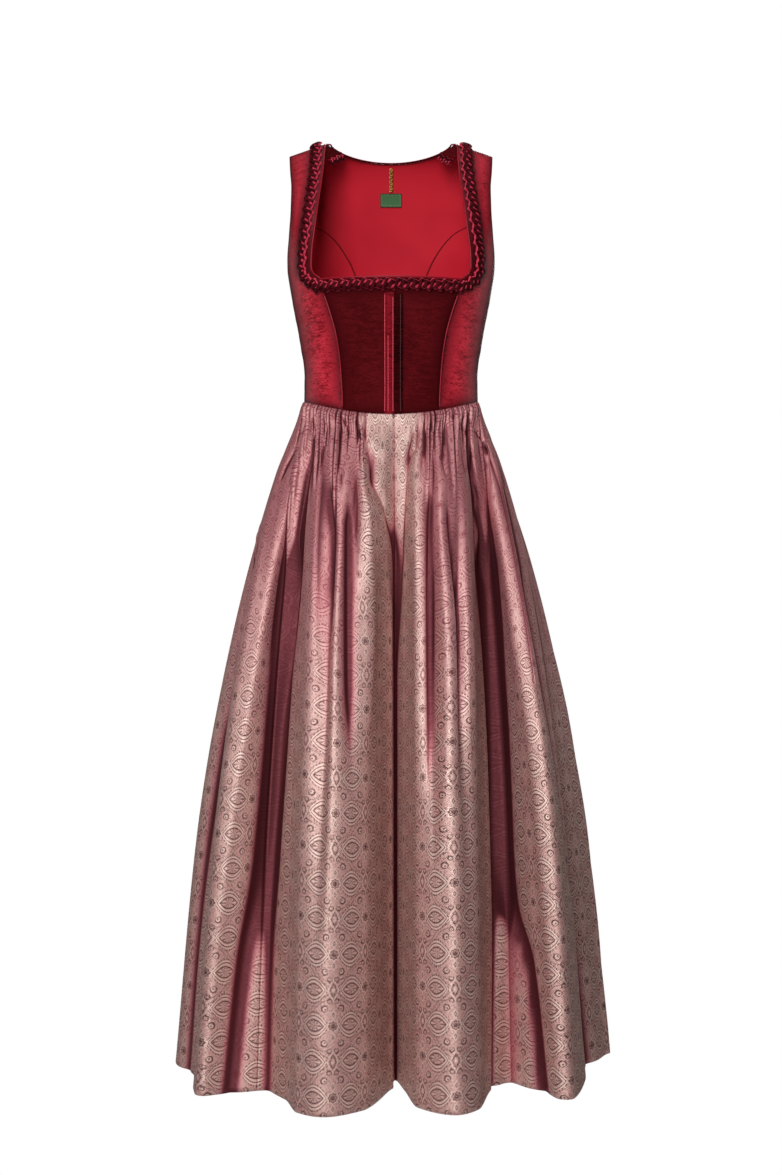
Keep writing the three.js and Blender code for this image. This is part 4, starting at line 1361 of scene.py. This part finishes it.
# %% Creases
CREASES = [
    # height, width to its left and right in mm, then its places (degrees, drop)
    # the right half of the front
    (-9, 6.5, 15, (-50, 28), (-63, 110), (-66.6, 203), (-68.6, 336), (-72, 499), (-71, 985)),
    (7, 16, 12, (-65, 18), (-72, 118), (-78.6, 211), (-82.4, 387), (-85.2, 691), (-87, 985)),
    (-14, 20, 17, (-66, 190), (-68.6, 292), (-70.2, 493), (-73.4, 649), (-78.6, 801), (-81, 985)),
    (-7, 9, 9, (-38, 90), (-37, 140), (-34.8, 197), (-35.8, 282), (-36, 380)),
    (4, 6.5, 7, (-97.8, 160), (-90.8, 310)),
    (3, 14, 14, (-31, 50), (-27.6, 164), (-29.6, 340), (-31, 520)),
    (-9, 13, 12, (-25, 110), (-22.4, 336), (-20.8, 448), (-19, 580)),
    (5, 9, 15, (-23, 60), (-12.6, 160), (-11.4, 286), (-12.2, 520)),
    (-4.5, 6.5, 7, (-17.8, 4), (-14.2, 47), (-10.2, 99), (-2.8, 154), (2.8, 219), (4.5, 280)),
    (5, 14, 6.5, (-2, 230), (-2.2, 568), (-2, 985)),
    (-4, 9, 13, (-44, 60), (-45, 180), (-40, 420)),
    # the left half of the front
    (-5, 6.5, 7, (13, 22), (10, 60), (7.2, 152), (5.4, 235), (3.4, 400)),
    (3, 13, 13, (15.4, 80), (15.8, 306), (16.4, 600)),
    (-8, 10, 10, (24.4, 90), (23, 193), (23.4, 336), (22.4, 505), (21, 640)),
    (3.5, 12, 13, (28.8, 60), (30, 180), (32.4, 389), (31.6, 484), (23.6, 760)),
    (-7, 9, 10, (34, 110), (35, 168), (42.6, 341), (40.8, 507), (39, 600)),
    (3, 13, 13, (45, 80), (48.2, 247), (51, 520)),
    (-9, 15, 6.5, (59, 30), (63.2, 134), (69.4, 201), (74.2, 286), (74.2, 405), (65.6, 985)),
    (-14, 17, 20, (66, 190), (68.6, 351), (72, 495), (73, 653), (79.4, 805), (81, 985)),
    (6, 13, 14, (78, 90), (80.6, 207), (82, 351), (83.8, 493), (85, 797), (86, 985)),
    (-7, 9, 9, (86.2, 90), (87, 239), (87.4, 338), (88.6, 520)),
    # short ones that the gathers draw in below the seam
    (-4, 4, 7, (-79, 32), (-79.6, 69), (-84, 99), (-86, 140)),
    (-3.5, 3, 4, (-58.2, 14), (-59.2, 47), (-60.2, 61), (-61, 90)),
    (-4, 3, 4, (-52.8, 10), (-55.2, 43), (-58, 57), (-59, 84)),
    (-4, 3.5, 5, (-40, 14), (-44.8, 57), (-46.2, 77), (-47, 112)),
    (-4, 3.5, 4, (-32.6, 12), (-31, 34), (-31.2, 71), (-28.6, 134)),
    (-3, 2.5, 3, (-31.6, 6), (-27.2, 28), (-26, 44)),
    (-3.5, 3, 4, (-22.4, 8), (-19.6, 34), (-17.8, 46), (-16.6, 80)),
    (-5, 9, 11, (-11.4, 40), (-9, 69), (-11.2, 109), (-10, 150)),
    (-3.5, 3, 4, (14.6, 14), (11.4, 45), (9.4, 61), (8, 90)),
    (-3.5, 3, 4, (17.4, 8), (15.6, 49), (11.2, 65), (10, 88)),
    (-4, 3.5, 4, (20.2, 10), (20.4, 47), (18.6, 79), (17, 112)),
    (-4, 3.5, 5, (25.2, 10), (26, 43), (26.2, 91), (24.4, 152)),
    (-4, 3.5, 4, (34, 10), (34.8, 45), (32.4, 77), (35.2, 114)),
    (-3, 2.5, 3, (39.2, 4), (41.8, 28), (42.6, 46)),
    (-4.5, 3.5, 5, (45.4, 8), (48.8, 40), (49.6, 77), (51.6, 124)),
    (-4, 3.5, 5, (48.4, 8), (54, 45), (61.2, 79), (65.6, 126), (73, 186)),
    (-4, 4, 6, (57.6, 10), (68.2, 43), (81.6, 77), (83.8, 109), (85.2, 150)),
    # the sides and the back
    (-9, 15, 16, (94, 240), (95, 420), (96.2, 655), (106.4, 829), (107.2, 985)),
    (6, 9, 6.5, (111, 20), (112, 300), (115, 985)),
    (-6, 6.5, 10, (121, 60), (124, 330)),
    (6, 12, 6.5, (131, 30), (134, 260), (133, 760)),
    (-8, 6.5, 12, (139, 20), (143, 300), (141, 985)),
    (5, 8, 8, (152, 60), (149, 420)),
    (-7, 12, 6.5, (159, 30), (156, 300), (157, 880)),
    (5, 6.5, 10, (168, 20), (166, 360)),
    (-6, 6.5, 6.5, (176, 40), (174, 520)),
    (6, 6.5, 12, (-174, 30), (-176, 300), (-173, 700)),
    (-7, 6.5, 10, (-166, 30), (-168, 400)),
    (7, 12, 6.5, (-158, 40), (-160, 260), (-163, 985)),
    (-6, 6.5, 9, (-148, 50), (-151, 380)),
    (5, 7, 7, (-139, 20), (-143, 240), (-145, 640)),
    (-8, 11, 6.5, (-131, 40), (-134, 300), (-137, 985)),
    (5, 6.5, 9, (-122, 60), (-124, 360)),
    (-7, 6.5, 11, (-112, 30), (-117, 260), (-120, 700)),
    (-9, 16, 15, (-94, 200), (-97, 420), (-99.8, 501), (-101.6, 825), (-101, 985)),
]
print(len(CREASES), "creases")


FADE_SHARE, FADE_MOST, FADE_TOP = 0.42, 200, 90  # of a crease's length, and at most in mm


def crease_relief(waist, drop, arc):
    """How far the creases lift the cloth. arc is the way along each row in mm."""
    total = np.zeros_like(arc)
    rows_drop, rows_waist = drop[:, 0], waist[0]
    for height, left, right, *line in CREASES:
        path = [dict(drop=at, waist=degrees) for degrees, at in line]
        first, last = path[0]["drop"], path[-1]["drop"]
        path_at = reader(path, "drop", "waist")(rows_drop)
        middle = np.array([np.interp(w, rows_waist, a) for w, a in zip(path_at, arc)])
        away = arc - middle[:, None]
        across = np.exp(-np.abs(away / np.where(away < 0, left, right)) ** 1.6)
        fade = min(FADE_MOST, FADE_SHARE * (last - first))
        down = smooth(rows_drop, first - 1, first + min(fade, FADE_TOP) * 0.7)
        if last < SKIRT_LENGTH:
            down = down * (1 - smooth(rows_drop, last - fade, last))
        total += height * across * down[:, None]
    return total


# %% [markdown]
# ## Jacquard
#
# The cloth has wine threads under a beige satin gloss, so its diffuse colour is wine and its
# specular tint is beige: where a fold faces the light it turns beige, and elsewhere wine. The
# pattern's pale lines are nearly bare beige metal, and its dark lines are dull and brown. Cloth
# in a hollow, where the attribute "edge" is high, gets painted shade: it is painted a dark wine
# and turned to metal, which reflects in that dark colour, so it loses the beige gloss.

# %% Jacquard
HALF_WIDE, HALF_HIGH = 56, 48  # half of the pattern's repeat
SPECK_WEIGHT, PALE_WEIGHT, DARK_WEIGHT = 0.22, 0.32, 0.5
DARK_LINE, GROUND, PALE_LINE = (0.055, 0.013, 0.015), (0.42, 0.125, 0.130), (0.80, 0.66, 0.58)
SHADOW, DEEP_SHADOW = (0.38, 0.034, 0.082), (0.090, 0.006, 0.016)


def make_jacquard_pattern():
    """Blossoms, pointed leaves, curls and diamonds, half a repeat apart, as plain sums."""
    group = bpy.data.node_groups.new("jacquard pattern", "ShaderNodeTree")
    group_socket(group, "Across", "INPUT", "NodeSocketFloat")
    group_socket(group, "Down", "INPUT", "NodeSocketFloat")
    group_socket(group, "Figure", "OUTPUT", "NodeSocketFloat")
    ends = group.nodes.new("NodeGroupInput"), group.nodes.new("NodeGroupOutput")
    u, v = Wire(group, ends[0].outputs[0]), Wire(group, ends[0].outputs[1])

    def centred(value, half):
        return (value * (0.5 / half) + 0.5).fract() * (2 * half) - half

    def line(distance, wide=0.8):
        return distance.abs().ramp(wide * 0.7, wide * 1.9, 1.0, 0.0)

    def fill(distance):
        return distance.ramp(-0.5, 0.5, 1.0, 0.0)

    # each place takes the nearer of the two blossoms that are half a repeat apart
    a, b = centred(u, HALF_WIDE), centred(v, HALF_HIGH)
    c, d = centred(u - HALF_WIDE, HALF_WIDE), centred(v - HALF_HIGH, HALF_HIGH)
    other = (a.abs() * (1 / HALF_WIDE) + b.abs() * (1 / HALF_HIGH)).math("GREATER_THAN", 1.0)
    x = (a + (c - a) * other).abs()
    y = (b + (d - b) * other).abs()
    rim = x * (1 / HALF_WIDE) + y * (1 / HALF_HIGH)
    r = hypot(x, y)
    turn = y.angle(x)

    # the frame of the cell: a faint wavy line of dots
    wave = (x * 0.23).sin() * 0.05
    dark = line((rim - 0.93 + wave) * 34, 0.7) * ((x - y) * 1.9).sin().ramp(-0.2, 0.2) * 0.8
    # the blossom
    petals = (turn * 8).cos()
    dark = dark.most(line(r - 5.4 - petals * 0.7, 0.6) * 0.8)
    dark = dark.most(fill(r - 3.4) * 0.8)
    pale = line(r - 7.6 - petals * 0.9, 0.6)
    # a pointed leaf on either side, with rays inside and three arcs round it
    eye_x, eye_y = x - 27, y
    eye = eye_y.abs() + eye_x * eye_x * 0.041
    rays = (eye_y.angle(eye_x) * 9).cos()
    inside = fill(eye - 6)
    dotted = (eye_x * 1.7).sin().ramp(-0.3, 0.3)
    pale = pale.most(line(eye - 11.0, 0.8)).most(inside * rays.ramp(0.3, 0.9) * 0.7)
    pale = pale.most(line(eye - 15.4, 0.9))
    dark = dark.most(inside * rays.ramp(-0.3, -0.9) * 0.8).most(line(eye - 7.6, 0.7))
    dark = dark.most(line(eye - 13.2, 0.5)).most(line(eye - 18.0, 0.9) * dotted)
    # curls round the blossom and the diamonds
    curls = ((27, 37, 5.4, 0.8), (46, 22, 4.6, 0.2), (11, 22, 3.6, 0.8), (5, 32, 2.6, 1.6))
    for curl_x, curl_y, size, lean in curls:
        dx, dy = x - curl_x, y - curl_y
        pear = hypot(dx, dy) / ((dy.angle(dx) - lean).cos() * 0.45 + 1)
        pale = pale.most(line(pear - size * 0.7, 0.6))
        dark = dark.most(line(pear - size, 0.8)).most(fill(pear - size * 0.3) * 0.9)
    # a stem of diamonds above and below the blossom
    for dx, dy, size in ((x, y - 15, 3.2), (x, y - HALF_HIGH, 9.0), (x - HALF_WIDE, y, 8.0)):
        diamond = dx.abs() + dy.abs() * 0.6
        pale = pale.most(line(diamond - size, 0.8)).most(fill(diamond - size * 0.3) * 0.8)
        dark = dark.most(line(diamond - size * 0.6, 0.6) * 0.8)
    # fine dots over the ground
    speck = (u * 1.9).sin() * (v * 1.9).sin()
    figure = speck * SPECK_WEIGHT + 0.5 + pale * PALE_WEIGHT - dark * DARK_WEIGHT
    plug(group, figure, ends[1].inputs["Figure"])
    return group


jacquard_pattern = make_jacquard_pattern()


def make_jacquard():
    material, tree, shader = new_material(
        "jacquard",
        IOR=2.7,
        Specular_IOR_Level=1.0,
        Specular_Tint=(0.97, 0.80, 0.71, 1),
    )
    uv, across, down = coordinates(tree)
    node = tree.nodes.new("ShaderNodeGroup")
    node.node_tree = jacquard_pattern
    warp = noise(tree, uv, 6, 2, 0.5)
    plug(tree, across + warp * 3, node.inputs["Across"])
    plug(tree, down, node.inputs["Down"])
    figure = Wire(tree, node.outputs["Figure"])
    grain = noise(tree, uv, 430, 3, 0.7)
    threads = noise(tree, uv, 1300, 1, 0.5, stretch=(1, 0.35, 1))
    shade = figure + (grain - 0.5) * 2.0 + (threads - 0.5) * 0.4
    colour = mix_colour(tree, shade.ramp(0.0, 0.5), DARK_LINE, GROUND)
    colour = mix_colour(tree, shade.ramp(0.5, 1.0), colour, PALE_LINE)
    # painted shade: cloth in a hollow is painted dark wine and turned to metal, losing its beige
    # gloss
    hollow_shade = edge_mark(tree).ramp(0.0, 1.0)
    colour = mix_colour(tree, hollow_shade.ramp(0.0, 0.55) * 0.85, colour, SHADOW)
    colour = mix_colour(tree, hollow_shade.ramp(0.5, 1.0) * 0.88, colour, DEEP_SHADOW)
    plug(tree, colour, shader.inputs["Base Color"])
    metal = shade.ramp(0.0, 0.45, 0.85, 0.0).most(shade.ramp(0.55, 1.0, 0.0, 0.6))
    plug(tree, metal.most(hollow_shade.ramp(0.25, 0.92, 0.0, 0.92)), shader.inputs["Metallic"])
    plug(tree, shade.ramp(0, 1, 0.72, 0.61), shader.inputs["Roughness"])
    set_bump(tree, shader, figure * 0.5 + threads * 0.5, 0.2, 0.2 * MM)
    return material


jacquard = make_jacquard()
print("the pattern repeats every", 2 * HALF_WIDE, "x", 2 * HALF_HIGH, "mm")

# %% [markdown]
# ## One ring, cut into widths
#
# The widths could be shaped one by one, but then their edges would never quite meet. So all four
# are shaped as one ring, and each takes its own columns of it. The ring also tells where cloth
# lies in a hollow: between gathers, in a crease, or behind the cloth around it. There the
# jacquard is given painted shade.

# %% The whole ring of the skirt
SKIRT_COLUMNS = {"front": 235, "back": 150}
SKIRT_DOWN = 200
SEAM_TUCK, SEAM_TUCK_REACH = 1.0, 2.4
# the painted shade at its darkest: between gathers, in creases, folds and pinches, near the waist
GATHER_SHADE, CREASE_SHADE, FOLD_SHADE, PINCH_SHADE, WAIST_SHADE = 0.75, 0.88, 0.9, 0.85, 0.5
down = np.linspace(0, 1, SKIRT_DOWN + 1)
skirt_drops = SKIRT_LENGTH * lerp(down**1.7, down, 0.35)  # rows lie closer near the waist
seam_columns = [0]
spans = []
for width in WIDTHS:
    count = SKIRT_COLUMNS[width["name"].split("_")[0]]
    spans.append(np.linspace(width["start"], width["end"], count + 1)[:-1])
    seam_columns.append(seam_columns[-1] + count)
skirt_waists = np.append(np.concatenate(spans), WIDTHS[-1]["end"])
own_columns = [slice(a, b + 1) for a, b in zip(seam_columns, seam_columns[1:])]
waist, drop = np.meshgrid(skirt_waists, skirt_drops)
lift = np.empty_like(waist)
for width, own in zip(WIDTHS, own_columns):
    lift[:, own] = gathers(waist[:, own], drop[:, own], width)
place, out = skirt_base(waist, drop)
ring = place + out * (SKIRT_TUCK + lift - trough_depth(waist, drop))[..., None]
steps = np.linalg.norm(np.diff(ring, axis=1), axis=-1)
arc = np.concatenate([np.zeros((len(steps), 1)), np.cumsum(steps, axis=1)], axis=1)
relief = crease_relief(waist, drop, arc)
# painted shade between the gathers and in the creases' furrows
furrow_shade = GATHER_SHADE * smooth(-lift, 0.5, 4.5) + CREASE_SHADE * smooth(-relief, 0.8, 11)
for column in seam_columns:
    from_seam = (arc - arc[:, column : column + 1]) / SEAM_TUCK_REACH
    relief -= SEAM_TUCK * np.exp(-(from_seam**2)) * (1 - 0.5 * smooth(drop, 150, 400))
ring = ring + normals_of(ring) * relief[..., None]


def depth_behind(reaches):
    """How far each place lies behind the mean of the columns around it, in mm."""
    around = ring[:, :-1]
    for reach in reaches:
        shifts = range(-reach, reach + 1)
        around = sum(np.roll(around, shift, axis=1) for shift in shifts) / len(shifts)
    around = np.concatenate([around, around[:, :1]], axis=1)
    return ((around - ring) * unit(normals_of(around) * (1, 1, 0))).sum(-1)


# Cloth that lies behind the cloth around it gets painted shade, and so does cloth in pinches.
behind = depth_behind((13, 11, 9))
hollow_shade = FOLD_SHADE * smooth(behind / (0.15 + flare_at(drop)), 1, 17)
pinch_shade = PINCH_SHADE * smooth(depth_behind((4, 3)), 0.12, 1.4) * (1 - 0.7 * smooth(drop, 150, 500))
# painted shade near the waist, all round but for the front middle
waist_shade = WAIST_SHADE * (1 - smooth(drop, 100, 800)) * smooth(np.abs(waist), 5, 24)
furrow_shade = np.maximum(furrow_shade, np.maximum(hollow_shade, pinch_shade))
furrow_shade = np.minimum(1, furrow_shade + waist_shade)
print("hollow share", round(float(hollow_shade.mean()), 2), "deepest", round(float(behind.max())), "mm")
front_column = seam_columns[2]
hem_arc = arc[-1] - arc[-1, front_column]
spread = lerp(0.5, 1, smooth(drop, -200, 420))  # the cut narrows towards the waist
print("the hem is", round(arc[-1, -1] * MM, 2), "m round")


def skirt_width(name, own):
    def lay(across, down):
        cut = np.stack([hem_arc[own] * spread[:, own], -drop[:, own]], -1)
        return ring[:, own], cut, furrow_shade[:, own]

    count = own.stop - own.start - 1
    piece = cloth(f"width_{name}", count, SKIRT_DOWN, lay, JACQUARD, sharp=180)
    register(piece, jacquard, f"skirt_{name}")
    print("   sewn", round(area_of(piece), 3), "m2")


for width, own in zip(WIDTHS, own_columns):
    skirt_width(width["name"], own)

# %% [markdown]
# ## The frame's box
#
# The construction model's box is printed, in metres.

# %% Sizes and finish
print("frame ", [[round(v, 4) for v in corner] for corner in cad_box])
